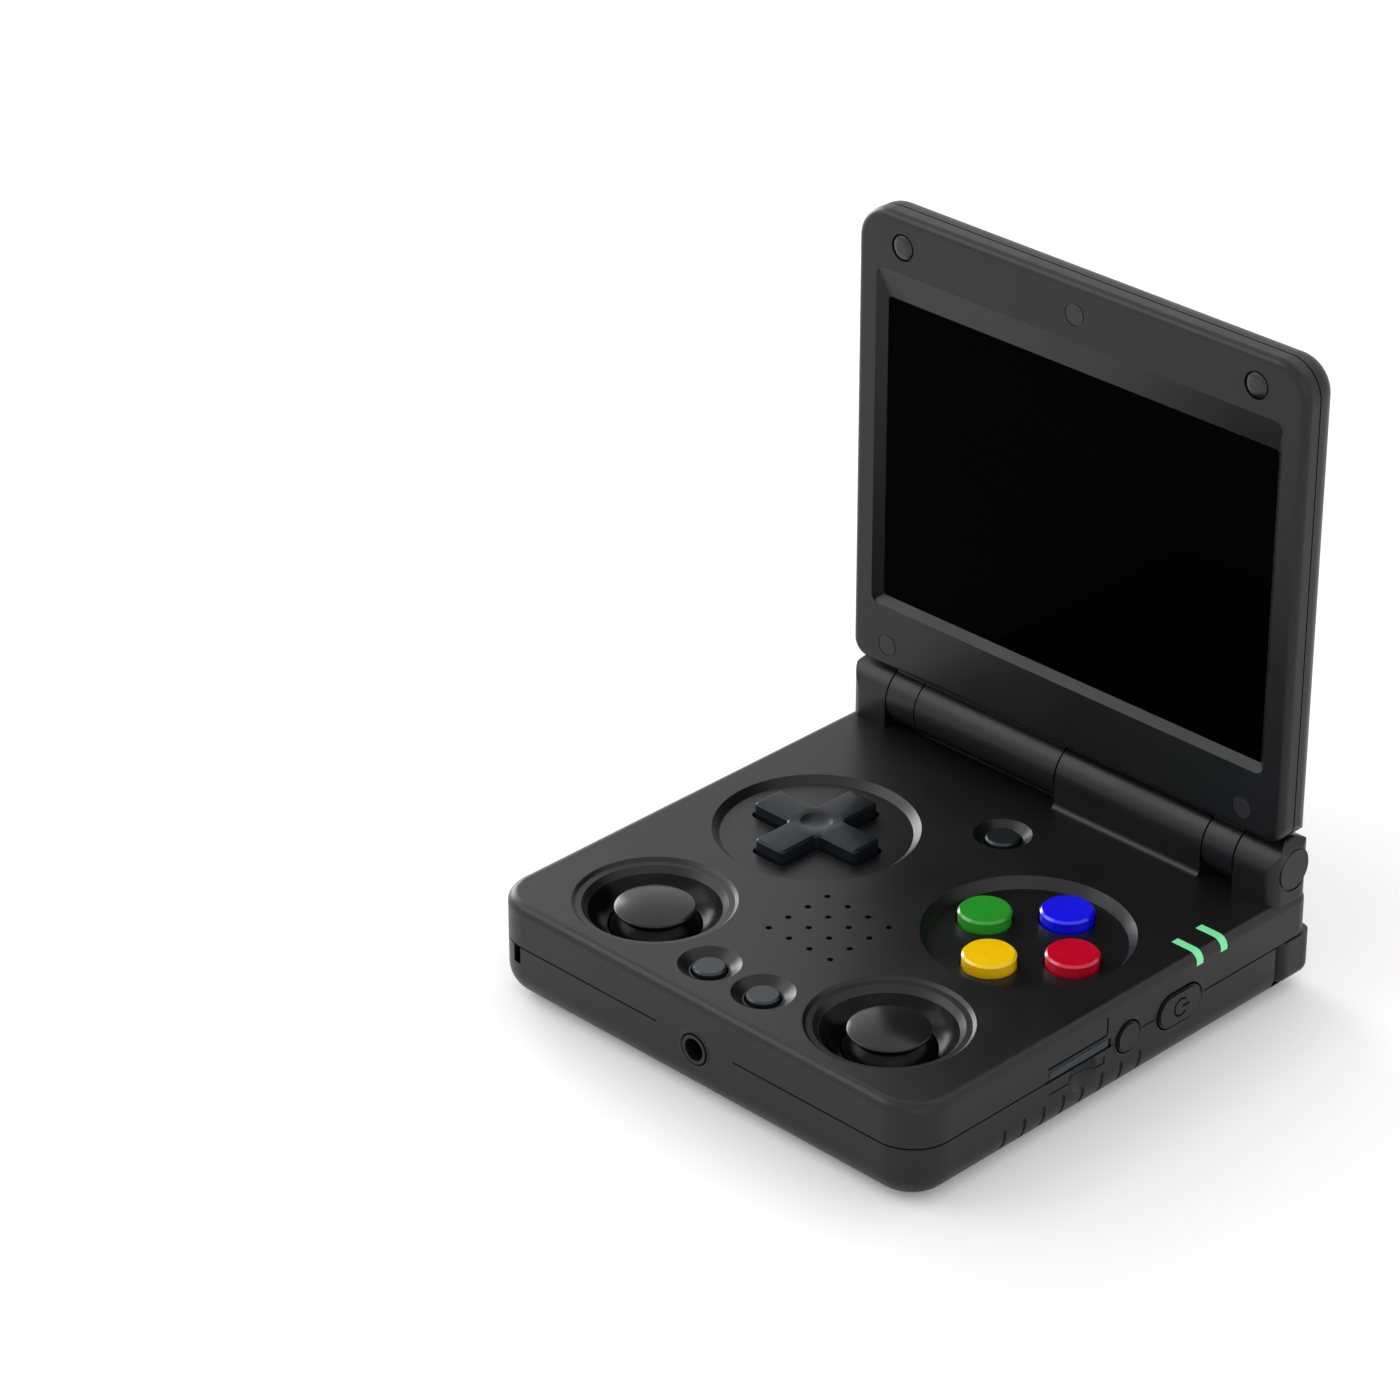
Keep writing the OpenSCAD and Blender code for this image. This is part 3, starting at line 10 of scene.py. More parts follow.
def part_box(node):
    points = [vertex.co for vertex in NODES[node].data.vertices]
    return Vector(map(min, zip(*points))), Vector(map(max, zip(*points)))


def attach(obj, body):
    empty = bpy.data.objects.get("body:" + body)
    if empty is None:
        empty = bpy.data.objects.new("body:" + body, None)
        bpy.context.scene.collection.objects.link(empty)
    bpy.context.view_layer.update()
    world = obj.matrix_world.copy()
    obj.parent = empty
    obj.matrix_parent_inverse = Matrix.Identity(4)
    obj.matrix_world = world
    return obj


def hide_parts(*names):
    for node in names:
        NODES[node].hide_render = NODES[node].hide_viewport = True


bl_info = {
    "name": "Clamshell Handheld Console",
    "version": (1, 0, 0),
    "blender": (4, 5, 0),
    "location": "View3D > Sidebar > Console",
    "description": "Dresses the clamshell handheld console and sets up its studio",
    "category": "Object",
}

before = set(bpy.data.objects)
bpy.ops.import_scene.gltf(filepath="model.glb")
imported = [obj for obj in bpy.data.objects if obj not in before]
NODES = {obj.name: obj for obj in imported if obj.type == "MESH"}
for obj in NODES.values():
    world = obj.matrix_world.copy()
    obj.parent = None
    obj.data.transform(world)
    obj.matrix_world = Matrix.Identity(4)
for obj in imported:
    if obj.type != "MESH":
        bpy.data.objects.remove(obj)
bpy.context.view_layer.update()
MM = 0.001

# Places in millimetres: the base's front edge, right side, top face, seam, depth and card slot.
FRONT_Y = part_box("base_top_shell")[0][1] / MM
SIDE_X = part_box("base_top_shell")[1][0] / MM
TOP_Z = 17.2
SEAM_Z = -7.3
BASE_DEPTH = 89.4
CARD_Y = 35.2

# The lid's length above the hinge, the place of its seam, corner radii, and the seams' step.
LID_LENGTH = 79.35
LID_SEAM_Y = 38.5
FRONT_CORNER, BACK_CORNER = 7.0, 3.0
LID_LOW_CORNER, LID_TOP_CORNER = 3.0, 5.8
CROSS_OUTER, CROSS_INNER, CROSS_LEAST = 0.8, 0.9, 0.02
SEAM_STEP = 0.4

# Smooth faces that meet at more than this many degrees keep a sharp edge.
SHARP_DEGREES = 38
MARK_THICK = 0.00002

# Place of the camera in metres, and its azimuth, elevation and roll in degrees.
CAMERA_PLACE = (0.43790, -0.48032, 0.40938)
CAMERA_TURNS = (45.087, 28.956, -0.16)


# ---------- sizes and colours ----------

def colour(name, text, value):
    return FloatVectorProperty(name=name, description=text, subtype="COLOR", size=3,
                               min=0.0, max=1.0, default=value)


def length(name, text, value):
    return FloatProperty(name=name, description=text, subtype="DISTANCE", unit="LENGTH",
                         default=value, precision=5)


def amount(name, text, value, low=0.0, high=1.0):
    return FloatProperty(name=name, description=text, default=value, min=low, max=high)


class ConsoleColours(bpy.types.PropertyGroup):
    """Colours of the plastic parts."""
    shell: colour("Shell", "Colour of the matt case", (0.0042, 0.0043, 0.0045))
    control: colour("Side controls", "Colour of the side and shoulder buttons",
                    (0.0045, 0.0047, 0.005))
    slate: colour("Slate controls", "Colour of the direction pad and small buttons",
                  (0.0085, 0.0094, 0.0115))
    stick: colour("Sticks", "Colour of the thumb sticks", (0.011, 0.0112, 0.0116))
    green: colour("Left button", "Colour of the left action button", (0.022, 0.32, 0.023))
    blue: colour("Rear button", "Colour of the rear action button", (0.001, 0.0005, 0.95))
    yellow: colour("Front button", "Colour of the front action button", (0.98, 0.6, 0.001))
    red: colour("Right button", "Colour of the right action button", (0.58, 0.0008, 0.022))
    light: colour("Light strips", "Colour of the two light strips", (0.2, 0.76, 0.33))
    screen: colour("Screen", "Colour of the screen window", (0.0004, 0.0004, 0.0005))
    # Painted shade: the dark colour for the engraved lines, the card slot's lines, the seams and
    # the sheet in the jack's gap.
    mark: colour("Marks", "Colour of the painted shade in grooves, seams and gaps", (0.0015, 0.0015, 0.0017))


class ConsoleSizes(bpy.types.PropertyGroup):
    """Sizes of the case's texture, the printed marks and the fine edges."""
    grain: length("Case grain", "Size of the grain moulded into the case", 0.00022)
    grain_depth: length("Grain depth", "Depth of the grain moulded into the case", 0.000012)
    line: length("Line width", "Width of an engraved line", 0.00032)
    power_ring: length("Power mark", "Radius of the ring of the power mark", 0.00145)
    cap_dome: length("Stick cap dome", "Height of the dome on a thumb stick", 0.00075)
    pad_round: length("Pad rounding", "Rounding of the direction pad's edges", 0.00045)
    seam: length("Seam", "Width of the dark line in a seam", 0.00026)
    bezel: length("Bezel height", "Height of the raised edge round a side button", 0.0001)
    shell_rough: amount("Case roughness", "Roughness of the case", 0.36)


class ConsoleStage(bpy.types.PropertyGroup):
    """Studio light and camera."""
    key: amount("Key light", "Power of the key light in watts", 3.0, 0.0, 500.0)
    fill: amount("Fill light", "Power of the fill light in watts", 1.0, 0.0, 500.0)
    rim: amount("Rim light", "Power of the rim light in watts", 0.6, 0.0, 500.0)
    side: amount("Side light", "Power of the low light at the left in watts", 5.5, 0.0, 500.0)
    sky: amount("Sky", "Strength of the light from all sides", 0.82, 0.0, 5.0)
    lens: FloatProperty(name="Lens", description="Focal length in millimetres", default=127.25,
                        min=20.0, max=400.0)
    floor: colour("Floor", "Colour of the floor", (0.92, 0.92, 0.92))


def prefs():
    """The scene's colours, sizes and stage settings."""
    scene = bpy.context.scene
    return scene.console_colours, scene.console_sizes, scene.console_stage


# ---------- material helpers ----------

class Shader:
    """A principled material and short calls for its nodes."""

    def __init__(self, name):
        self.mat = bpy.data.materials.new(name)
        self.mat.use_nodes = True
        self.tree = self.mat.node_tree
        self.bsdf = next(n for n in self.tree.nodes if n.type == "BSDF_PRINCIPLED")
        self.coord = self.add("ShaderNodeTexCoord")

    def add(self, kind, **values):
        node = self.tree.nodes.new(kind)
        for key, value in values.items():
            if hasattr(node, key):
                setattr(node, key, value)
            else:
                node.inputs[key].default_value = value
        return node

    def link(self, a, b):
        self.tree.links.new(a, b)

    def set(self, **values):
        names = {"metal": "Metallic", "rough": "Roughness", "spec": "Specular IOR Level",
                 "coat": "Coat Weight", "coat_rough": "Coat Roughness",
                 "sub": "Subsurface Weight", "glow": "Emission Strength"}
        for key, value in values.items():
            self.bsdf.inputs[names[key]].default_value = value
        return self

    def noise(self, size, detail):
        node = self.add("ShaderNodeTexNoise", Scale=1.0 / size, Detail=detail, Roughness=0.55)
        self.link(self.coord.outputs["Object"], node.inputs["Vector"])
        return node.outputs["Fac"]

    def ramp(self, fac, low, high, a, b):
        node = self.add("ShaderNodeMapRange")
        node.inputs["From Min"].default_value = low
        node.inputs["From Max"].default_value = high
        node.inputs["To Min"].default_value = a
        node.inputs["To Max"].default_value = b
        self.link(fac, node.inputs["Value"])
        return node.outputs["Result"]

    def tint(self, fac, dark, light):
        node = self.add("ShaderNodeMix", data_type="RGBA")
        node.inputs[6].default_value = (*dark, 1.0)
        node.inputs[7].default_value = (*light, 1.0)
        self.link(fac, node.inputs[0])
        self.link(node.outputs[2], self.bsdf.inputs["Base Color"])

    def mottle(self, fac, rgb, dark, light, spread=0.15):
        """Tints a colour between a darker and a lighter multiple of itself."""
        self.tint(self.ramp(fac, 0.5 - spread, 0.5 + spread, 0.0, 1.0), scaled(rgb, dark),
                  scaled(rgb, light))

    def roughness(self, fac, a, b):
        self.link(self.ramp(fac, 0.3, 0.7, a, b), self.bsdf.inputs["Roughness"])

    def bump(self, height, depth):
        node = self.add("ShaderNodeBump")
        node.inputs["Strength"].default_value = 1.0
        node.inputs["Distance"].default_value = depth
        self.link(height, node.inputs["Height"])
        self.link(node.outputs["Normal"], self.bsdf.inputs["Normal"])


def scaled(rgb, k):
    """A colour times a factor, and no more than white."""
    return tuple(min(1.0, c * k) for c in rgb)


def matt_plastic(name, rgb, rough, grain=0.00022, depth=0.000012, spec=0.38):
    """Moulded plastic with a fine grain and a slightly uneven colour and sheen."""
    cloud, uneven = 0.012, 0.03
    s = Shader(name).set(spec=spec)
    fine = s.noise(grain, 2.0)
    broad = s.noise(cloud, 2.0)
    s.mottle(broad, rgb, 0.93, 1.07)
    s.roughness(broad, rough - uneven, rough + uneven)
    s.bump(fine, depth)
    return s.mat


def gloss_plastic(name, rgb, rough, coat, depth=0.000001, spec=0.5):
    """Smooth moulded plastic or rubber, with faint flow marks."""
    cloud, uneven, ripple = 0.003, 0.03, 0.00025
    s = Shader(name).set(spec=spec, coat=coat, coat_rough=0.06)
    flow = s.noise(cloud, 3.0)
    s.mottle(flow, rgb, 0.96, 1.04)
    s.roughness(flow, rough - uneven, rough + uneven)
    s.bump(s.noise(ripple, 2.0), depth)
    return s.mat


def satin_metal(name, rgb, rough):
    """Drawn metal, with fine streaks."""
    size, squeeze, depth = 0.0004, (1.0, 1.0, 14.0), 0.000003
    s = Shader(name).set(metal=1.0)
    streak = s.add("ShaderNodeMapping", Scale=squeeze)
    s.link(s.coord.outputs["Object"], streak.inputs["Vector"])
    grain = s.add("ShaderNodeTexNoise", Scale=1.0 / size)
    s.link(streak.outputs["Vector"], grain.inputs["Vector"])
    s.tint(grain.outputs["Fac"], scaled(rgb, 0.88), scaled(rgb, 1.06))
    s.roughness(grain.outputs["Fac"], rough - 0.06, rough + 0.08)
    s.bump(grain.outputs["Fac"], depth)
    return s.mat


def soft_rubber(name, rgb):
    """Matt rubber with a dusty look and a fine grain."""
    cloud, grain, depth = 0.0015, 0.0003, 0.00001
    s = Shader(name).set(spec=0.35)
    dust = s.noise(cloud, 4.0)
    s.mottle(dust, rgb, 0.9, 1.12, 0.2)
    s.roughness(dust, 0.58, 0.68)
    s.bump(s.noise(grain, 2.0), depth)
    return s.mat


def wear(node_names, material):
    """Gives the solids with these names a material."""
    for name in node_names:
        slots = NODES[name].material_slots
        if not slots:
            NODES[name].data.materials.append(material)
        for entry in slots:
            entry.material = material


# ---------- piece helpers ----------

def add_mesh(name, verts, faces, material, body, smooth=False):
    """Makes a piece from points in metres, riding on a body."""
    mesh = bpy.data.meshes.new(name)
    mesh.from_pydata([tuple(v) for v in verts], [], faces)
    mesh.update()
    work = bmesh.new()
    work.from_mesh(mesh)
    bmesh.ops.recalc_face_normals(work, faces=work.faces)
    work.to_mesh(mesh)
    work.free()
    mesh.materials.append(material)
    obj = bpy.data.objects.new(name, mesh)
    bpy.context.scene.collection.objects.link(obj)
    if smooth:
        for face in mesh.polygons:
            face.use_smooth = True
        mesh.set_sharp_from_angle(angle=math.radians(SHARP_DEGREES))
    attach(obj, body)
    return obj


def ribbon(points, width):
    """Thin line through points on the right side, painted as the shade in an engraved line."""
    out = Vector((1, 0, 0))
    lift = out * MARK_THICK
    pts = [Vector(p) for p in points]
    last = len(pts) - 1
    verts, faces = [], []
    for i, p in enumerate(pts):
        along = (pts[min(i + 1, last)] - pts[max(i - 1, 0)]).normalized()
        side = out.cross(along).normalized() * width / 2
        verts += [p - side, p + side, p + side + lift, p - side + lift]
    for i in range(last):
        a, b = 4 * i, 4 * (i + 1)
        for k in range(4):
            faces.append((a + k, b + k, b + (k + 1) % 4, a + (k + 1) % 4))
    end = 4 * last
    faces += [(3, 2, 1, 0), (end, end + 1, end + 2, end + 3)]
    return verts, faces


def spot(x, y, z):
    """Point given in millimetres from the base's front edge and top face."""
    return Vector((x, y + FRONT_Y, z + TOP_Z)) * MM


def turned(profile, steps=72, closed=False):
    """Mesh of a profile of (radius, height) pairs turned about Z, in millimetres.

    A closed profile is a ring, whose last pair joins its first."""
    verts, faces, rings = [], [], []
    for radius, height in profile:
        start = len(verts)
        count = steps if radius else 1
        rings.append([start + k for k in range(count)])
        for k in range(count):
            turn = 2 * math.pi * k / steps
            verts.append((radius * math.cos(turn), radius * math.sin(turn), height))
    pairs = list(zip(rings, rings[1:]))
    if closed:
        pairs.append((rings[-1], rings[0]))
    for a, b in pairs:
        for k in range(steps):
            n = (k + 1) % steps
            if len(a) == 1:
                faces.append((a[0], b[n], b[k]))
            elif len(b) == 1:
                faces.append((a[k], a[n], b[0]))
            else:
                faces.append((a[k], a[n], b[n], b[k]))
    return verts, faces


def facing(verts, centre, axis):
    """Turns a mesh made about Z to face up, to the front or to the right, at a centre."""
    ways = {"up": lambda v: (v[0], v[1], v[2]),
            "front": lambda v: (v[0], -v[2], v[1]),
            "right": lambda v: (v[2], v[0], v[1])}
    return [Vector(ways[axis](v)) * MM + centre for v in verts]


def joined(*parts):
    """One mesh of several (points, faces) pairs."""
    verts, faces = [], []
    for more, sides in parts:
        faces += [tuple(i + len(verts) for i in face) for face in sides]
        verts += list(more)
    return verts, faces


def swept(outline, section):
    """Closed band: a section of (outwards, height) pairs swept round a flat outline.

    The outline holds (u, v, nu, nv) rows, its points and outward normals in millimetres."""
    verts = [(u + nu * out, v + nv * out, height)
             for u, v, nu, nv in outline for out, height in section]
    rows, wide = len(outline), len(section)
    faces = [(i * wide + k, ((i + 1) % rows) * wide + k, ((i + 1) % rows) * wide + (k + 1) % wide,
              i * wide + (k + 1) % wide) for i in range(rows) for k in range(wide)]
    return verts, faces


def band(rows, section):
    """Open band: a section of (outwards, height) pairs carried along rows, with closed ends."""
    verts = [(u + nu * out, v + nv * out, height)
             for u, v, nu, nv in rows for out, height in section]
    wide = len(section)
    faces = [(i * wide + k, (i + 1) * wide + k, (i + 1) * wide + (k + 1) % wide,
              i * wide + (k + 1) % wide) for i in range(len(rows) - 1) for k in range(wide)]
    last = len(verts) - wide
    faces += [tuple(reversed(range(wide))), tuple(range(last, last + wide))]
    return verts, faces


def rounded(half, low, high, corner_low, corner_high):
    """Outline of a rounded plate with its outward normals, from the middle of its low side."""
    rows = []

    def straight(a, b, normal):
        count = max(1, int(math.hypot(b[0] - a[0], b[1] - a[1]) / SEAM_STEP))
        for k in range(count):
            t = k / count
            rows.append((a[0] + (b[0] - a[0]) * t, a[1] + (b[1] - a[1]) * t, *normal))

    def arc(cx, cy, r, start):
        for degrees in range(0, 90, 9):
            t = math.radians(start + degrees)
            rows.append((cx + r * math.cos(t), cy + r * math.sin(t), math.cos(t), math.sin(t)))

    straight((0, low), (half - corner_low, low), (0, -1))
    arc(half - corner_low, low + corner_low, corner_low, -90)
    straight((half, low + corner_low), (half, high - corner_high), (1, 0))
    arc(half - corner_high, high - corner_high, corner_high, 0)
    straight((half - corner_high, high), (corner_high - half, high), (0, 1))
    arc(corner_high - half, high - corner_high, corner_high, 90)
    straight((-half, high - corner_high), (-half, low + corner_low), (-1, 0))
    arc(corner_low - half, low + corner_low, corner_low, 180)
    straight((corner_low - half, low), (0, low), (0, -1))
    rows.append((0.0, low, 0, -1))
    return rows


def runs(rows, wanted):
    """Splits rows into the runs whose points are wanted."""
    found, run = [], []
    for row in rows:
        if wanted(row[0], row[1]):
            run.append(row)
            continue
        if len(run) > 1:
            found.append(run)
        run = []
    return found + ([run] if len(run) > 1 else [])


def pill(long, wide, steps=24):
    """Outline of a pill along U with its outward normals."""
    rows = []
    r = wide / 2
    reach = long / 2 - r
    for side in (1, -1):
        for k in range(steps + 1):
            turn = math.pi * (k / steps - 0.5) + (0 if side > 0 else math.pi)
            nu, nv = math.cos(turn), math.sin(turn)
            rows.append((side * reach + r * nu, r * nv, nu, nv))
    return rows


def cross(long, arm, inset, steps=6):
    """Outline of the direction pad's cross, drawn in by an inset."""
    a, b = arm / 2 - inset, long / 2 - inset
    outer, inner = max(CROSS_OUTER - inset, CROSS_LEAST), CROSS_INNER + inset
    points = []
    for quarter in range(4):
        turn = math.pi / 2 * quarter
        arcs = ((b - outer, outer - a, outer, -90, 0), (b - outer, a - outer, outer, 0, 90),
                (a + inner, a + inner, inner, -90, -180))
        for cx, cy, r, start, end in arcs:
            for k in range(steps + 1):
                t = math.radians(start + (end - start) * k / steps)
                x, y = cx + r * math.cos(t), cy + r * math.sin(t)
                points.append((x * math.cos(turn) - y * math.sin(turn),
                               x * math.sin(turn) + y * math.cos(turn)))
    return points


# ---------- operators ----------

class CONSOLE_OT_case(bpy.types.Operator):
    """Give the shells, the lid, the plugs and the feet their matt plastic and rubber"""
    bl_idname = "console.case"
    bl_label = "Case"

    def execute(self, context):
        colours, sizes, _ = prefs()
        shell = matt_plastic("case plastic", colours.shell, sizes.shell_rough, sizes.grain,
                             sizes.grain_depth)
        wear(["base_top_shell", "base_bottom_shell", "battery_cover", "lid_front_shell",
              "lid_back_cover", "hinge_caps"], shell)
        wear(["lid_plugs"], matt_plastic("plug plastic", scaled(colours.shell, 2.6), 0.5, spec=0.5))
        wear(["rubber_feet", "lid_bumpers"], soft_rubber("soft rubber", (0.022, 0.022, 0.024)))
        return {"FINISHED"}


class CONSOLE_OT_controls(bpy.types.Operator):
    """Give the direction pad, the sticks and every button its plastic"""
    bl_idname = "console.controls"
    bl_label = "Controls"

    def execute(self, context):
        colours, sizes, _ = prefs()
        side = matt_plastic("side control plastic", colours.control, 0.4, sizes.grain,
                            sizes.grain_depth * 0.5)
        wear(["power_button", "side_button", "volume_rocker", "shoulder_outer_left",
              "shoulder_outer_right", "shoulder_inner_left", "shoulder_inner_right"], side)
        wear(["direction_pad", "small_button_left", "small_button_right", "function_button",
              "stick_left", "stick_right"],
             gloss_plastic("slate plastic", scaled(colours.slate, 1.3), 0.3, 0.0, 0.0000012))
        for name, rgb in (("left", colours.green), ("rear", colours.blue),
                          ("front", colours.yellow), ("right", colours.red)):
            wear(["action_button_" + name], gloss_plastic(name + " button plastic", rgb, 0.22, 0.4))
        return {"FINISHED"}


class CONSOLE_OT_screen(bpy.types.Operator):
    """Give the screen window its black glass and the display panel its plastic"""
    bl_idname = "console.screen"
    bl_label = "Screen"

    def execute(self, context):
        colours, _, _ = prefs()
        glass = Shader("screen glass").set(spec=0.006, rough=0.07)
        smudge = glass.noise(0.02, 3.0)
        glass.mottle(smudge, colours.screen, 1.0, 1.25, 0.2)
        glass.roughness(smudge, 0.06, 0.09)
        wear(["display_glass"], glass.mat)
        wear(["display_panel"], matt_plastic("panel plastic", (0.03, 0.03, 0.034), 0.4))
        return {"FINISHED"}


class CONSOLE_OT_hardware(bpy.types.Operator):
    """Give the steel parts, the jack, the ports, the light strips and the inside their materials"""
    bl_idname = "console.hardware"
    bl_label = "Hardware"

    def execute(self, context):
        colours, _, _ = prefs()
        steel = satin_metal("steel", (0.52, 0.52, 0.54), 0.32)
        wear(["tact_switches", "pad_spider", "stick_yoke_left", "stick_yoke_right", "base_screws",
              "lid_screws", "hinge_pin_left", "hinge_pin_right", "hinge_tube", "hinge_clutch",
              "usb_port", "video_port", "card_socket", "lid_magnet"], steel)
        wear(["headphone_jack"],
             matt_plastic("jack plastic", colours.shell, 0.35, 0.0003, 0.000002))
        light = Shader("light strip").set(spec=0.5, rough=0.3, sub=0.2, glow=0.25)
        milky = light.noise(0.0008, 2.0)
        light.tint(milky, scaled(colours.light, 0.92), scaled(colours.light, 1.08))
        light.bsdf.inputs["Emission Color"].default_value = (*colours.light, 1.0)
        wear(["light_strips"], light.mat)
        wear(["main_board"], gloss_plastic("board lacquer", (0.006, 0.009, 0.008), 0.35, 0.1))
        wear(["battery"], matt_plastic("battery wrap", (0.09, 0.09, 0.1), 0.35))
        wear(["speaker", "stick_module_left", "stick_module_right", "pad_seat"],
             matt_plastic("module plastic", (0.03, 0.03, 0.032), 0.5))
        wear(["pad_membrane", "action_membrane"], soft_rubber("membrane rubber", (0.5, 0.5, 0.48)))
        return {"FINISHED"}


class CONSOLE_OT_sticks(bpy.types.Operator):
    """Build the domed thumb sticks and the glossy bowls round them, darkened as painted shade"""
    bl_idname = "console.sticks"
    bl_label = "Thumb sticks"

    def execute(self, context):
        colours, sizes, _ = prefs()
        satin = gloss_plastic("stick plastic", colours.stick, 0.22, 0.0, 0.000001, 0.34)
        # Painted shade: the bowls and the hollow balls under the caps get half the case colour,
        # darker for the shade deep in the bowl and under the cap.
        shaded_gloss = gloss_plastic("shaded bowl plastic", scaled(colours.shell, 0.5), 0.24, 0.0, 0.0000008,
                              0.12)
        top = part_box("stick_left")[1][2] / MM - TOP_Z
        cap = self.cap(top, sizes.cap_dome / MM)
        skirt = self.skirt(top)
        bowl = [(7.35, -4.5), (7.3, -4.35), (7.36, -4.22), (7.6, -4.1), (8.1, -3.9), (8.7, -3.52),
                (9.3, -3.0), (9.8, -2.4), (10.15, -1.9), (10.36, -1.58), (10.6, -1.6), (10.7, -1.9),
                (10.1, -4.28), (8.2, -4.5)]
        for side in ("left", "right"):
            stick = "stick_" + side
            low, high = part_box(stick)
            centre = Vector(((low[0] + high[0]) / 2, (low[1] + high[1]) / 2, TOP_Z * MM))
            verts, faces = turned(cap, 96)
            piece = add_mesh("stick_cap_" + side, facing(verts, centre, "up"), faces, satin, stick,
                             True)
            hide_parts(stick)
            verts, faces = turned(skirt, 96)
            add_mesh("stick_skirt_" + side, facing(verts, centre, "up"), faces, shaded_gloss, stick,
                     True)
            verts, faces = turned(bowl, 120, closed=True)
            add_mesh("stick_bowl_" + side, facing(verts, centre, "up"), faces, shaded_gloss, "base",
                     True)
        return {"FINISHED"}

    def cap(self, top, dome):
        """Profile of the cap: a shallow dome, a thin round edge and a flat underside."""
        reach, steps = 6.1, 12
        ball = (reach * reach + dome * dome) / (2 * dome)
        profile = [(0.0, top)]
        for k in range(1, steps + 1):
            r = reach * k / steps
            profile.append((r, top - ball + math.sqrt(ball ** 2 - r * r)))
        edge = [(6.22, 0.05), (6.32, 0.15), (6.36, 0.3), (6.32, 0.45), (6.2, 0.55), (5.9, 0.6),
                (4.6, 0.62), (0.0, 0.62)]
        return profile + [(radius, top - dome - drop) for radius, drop in edge]

    def skirt(self, top):
        """Profile of the hollow ball under the cap, round the stick's pivot, with its stem."""
        pivot, ball, wall = -8.0, 7.95, 1.1
        neck, low, roof, outside, inside = 6.05, 0.2, 4.2, 16, 8
        profile = [(0.0, top - 1.3), (4.5, top - 1.3), (4.5, top - 1.5)]
        for k in range(outside + 1):
            h = neck - (neck - low) * k / outside
            profile.append((math.sqrt(ball ** 2 - h * h), pivot + h))
        for k in range(inside + 1):
            h = low + (roof - low) * k / inside
            profile.append((math.sqrt((ball - wall) ** 2 - h * h), pivot + h))
        stem = [(1.7, roof), (1.7, 1.0), (2.2, 1.0), (2.2, -1.0), (0.0, -1.0)]
        return profile + [(radius, pivot + h) for radius, h in stem]


class CONSOLE_OT_pad(bpy.types.Operator):
    """Build the direction pad with its rounded edges and its dish"""
    bl_idname = "console.pad"
    bl_label = "Direction pad"

    def execute(self, context):
        colours, sizes, _ = prefs()
        slate = gloss_plastic("pad plastic", colours.slate, 0.26, 0.0, 0.0000012, 0.22)
        low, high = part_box("direction_pad")
        centre = Vector(((low[0] + high[0]) / 2, (low[1] + high[1]) / 2, TOP_Z * MM))
        top = high[2] / MM - TOP_Z
        base = top - 5.36
        flange, flange_thick = 12.0, 0.7
        work = bmesh.new()
        rim = self.arms(work, base, top, sizes.pad_round / MM)
        dish = self.dish(work, top)
        edges = []
        for loop in (rim, dish):
            for k, vert in enumerate(loop):
                after = loop[(k + 1) % len(loop)]
                edges.append(work.edges.get((vert, after)) or work.edges.new((vert, after)))
        bmesh.ops.triangle_fill(work, use_beauty=True, edges=edges)
        verts = [v.co.copy() for v in work.verts]
        work.verts.index_update()
        faces = [tuple(v.index for v in face.verts) for face in work.faces]
        work.free()
        disc = turned([(0.0, base), (flange, base), (flange, base + flange_thick),
                       (0.0, base + flange_thick)])
        verts, faces = joined((verts, faces), disc)
        piece = add_mesh("direction_pad_cross", facing(verts, centre, "up"), faces, slate,
                         "direction_pad", True)
        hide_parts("direction_pad")
        return {"FINISHED"}

    def arms(self, work, base, top, soft):
        """Adds the walls of the cross with their rounded edge, and returns the top's outline."""
        long, arm, bevels = 21.8, 6.0, 5
        levels = [(0.0, base), (0.0, top - soft)]
        for k in range(1, bevels + 1):
            t = math.radians(90 / bevels * k)
            levels.append((soft * (1 - math.cos(t)), top - soft + soft * math.sin(t)))
        rings = [[work.verts.new((x, y, height)) for x, y in cross(long, arm, inset)]
                 for inset, height in levels]
        self.bridge(work, rings)
        work.faces.new(list(reversed(rings[0])))
        return rings[-1]

    def dish(self, work, top):
        """Adds the round dish in the middle of the top, and returns its outline."""
        reach, deep, steps, count = 2.75, 0.45, 48, 10
        ball = (reach * reach + deep * deep) / (2 * deep)
        rings = []
        for j in range(count):
            r = reach * (1 - j / count)
            height = top + ball - deep - math.sqrt(ball * ball - r * r)
            rings.append([work.verts.new((r * math.cos(2 * math.pi * k / steps),
                                          r * math.sin(2 * math.pi * k / steps), height))
                          for k in range(steps)])
        self.bridge(work, rings)
        bottom = work.verts.new((0, 0, top - deep))
        for k in range(steps):
            work.faces.new((rings[-1][k], rings[-1][(k + 1) % steps], bottom))
        return rings[0]

    def bridge(self, work, rings):
        """Joins each ring of points to the next one."""
        count = len(rings[0])
        for a, b in zip(rings, rings[1:]):
            for k in range(count):
                n = (k + 1) % count
                work.faces.new((a[k], a[n], b[n], b[k]))


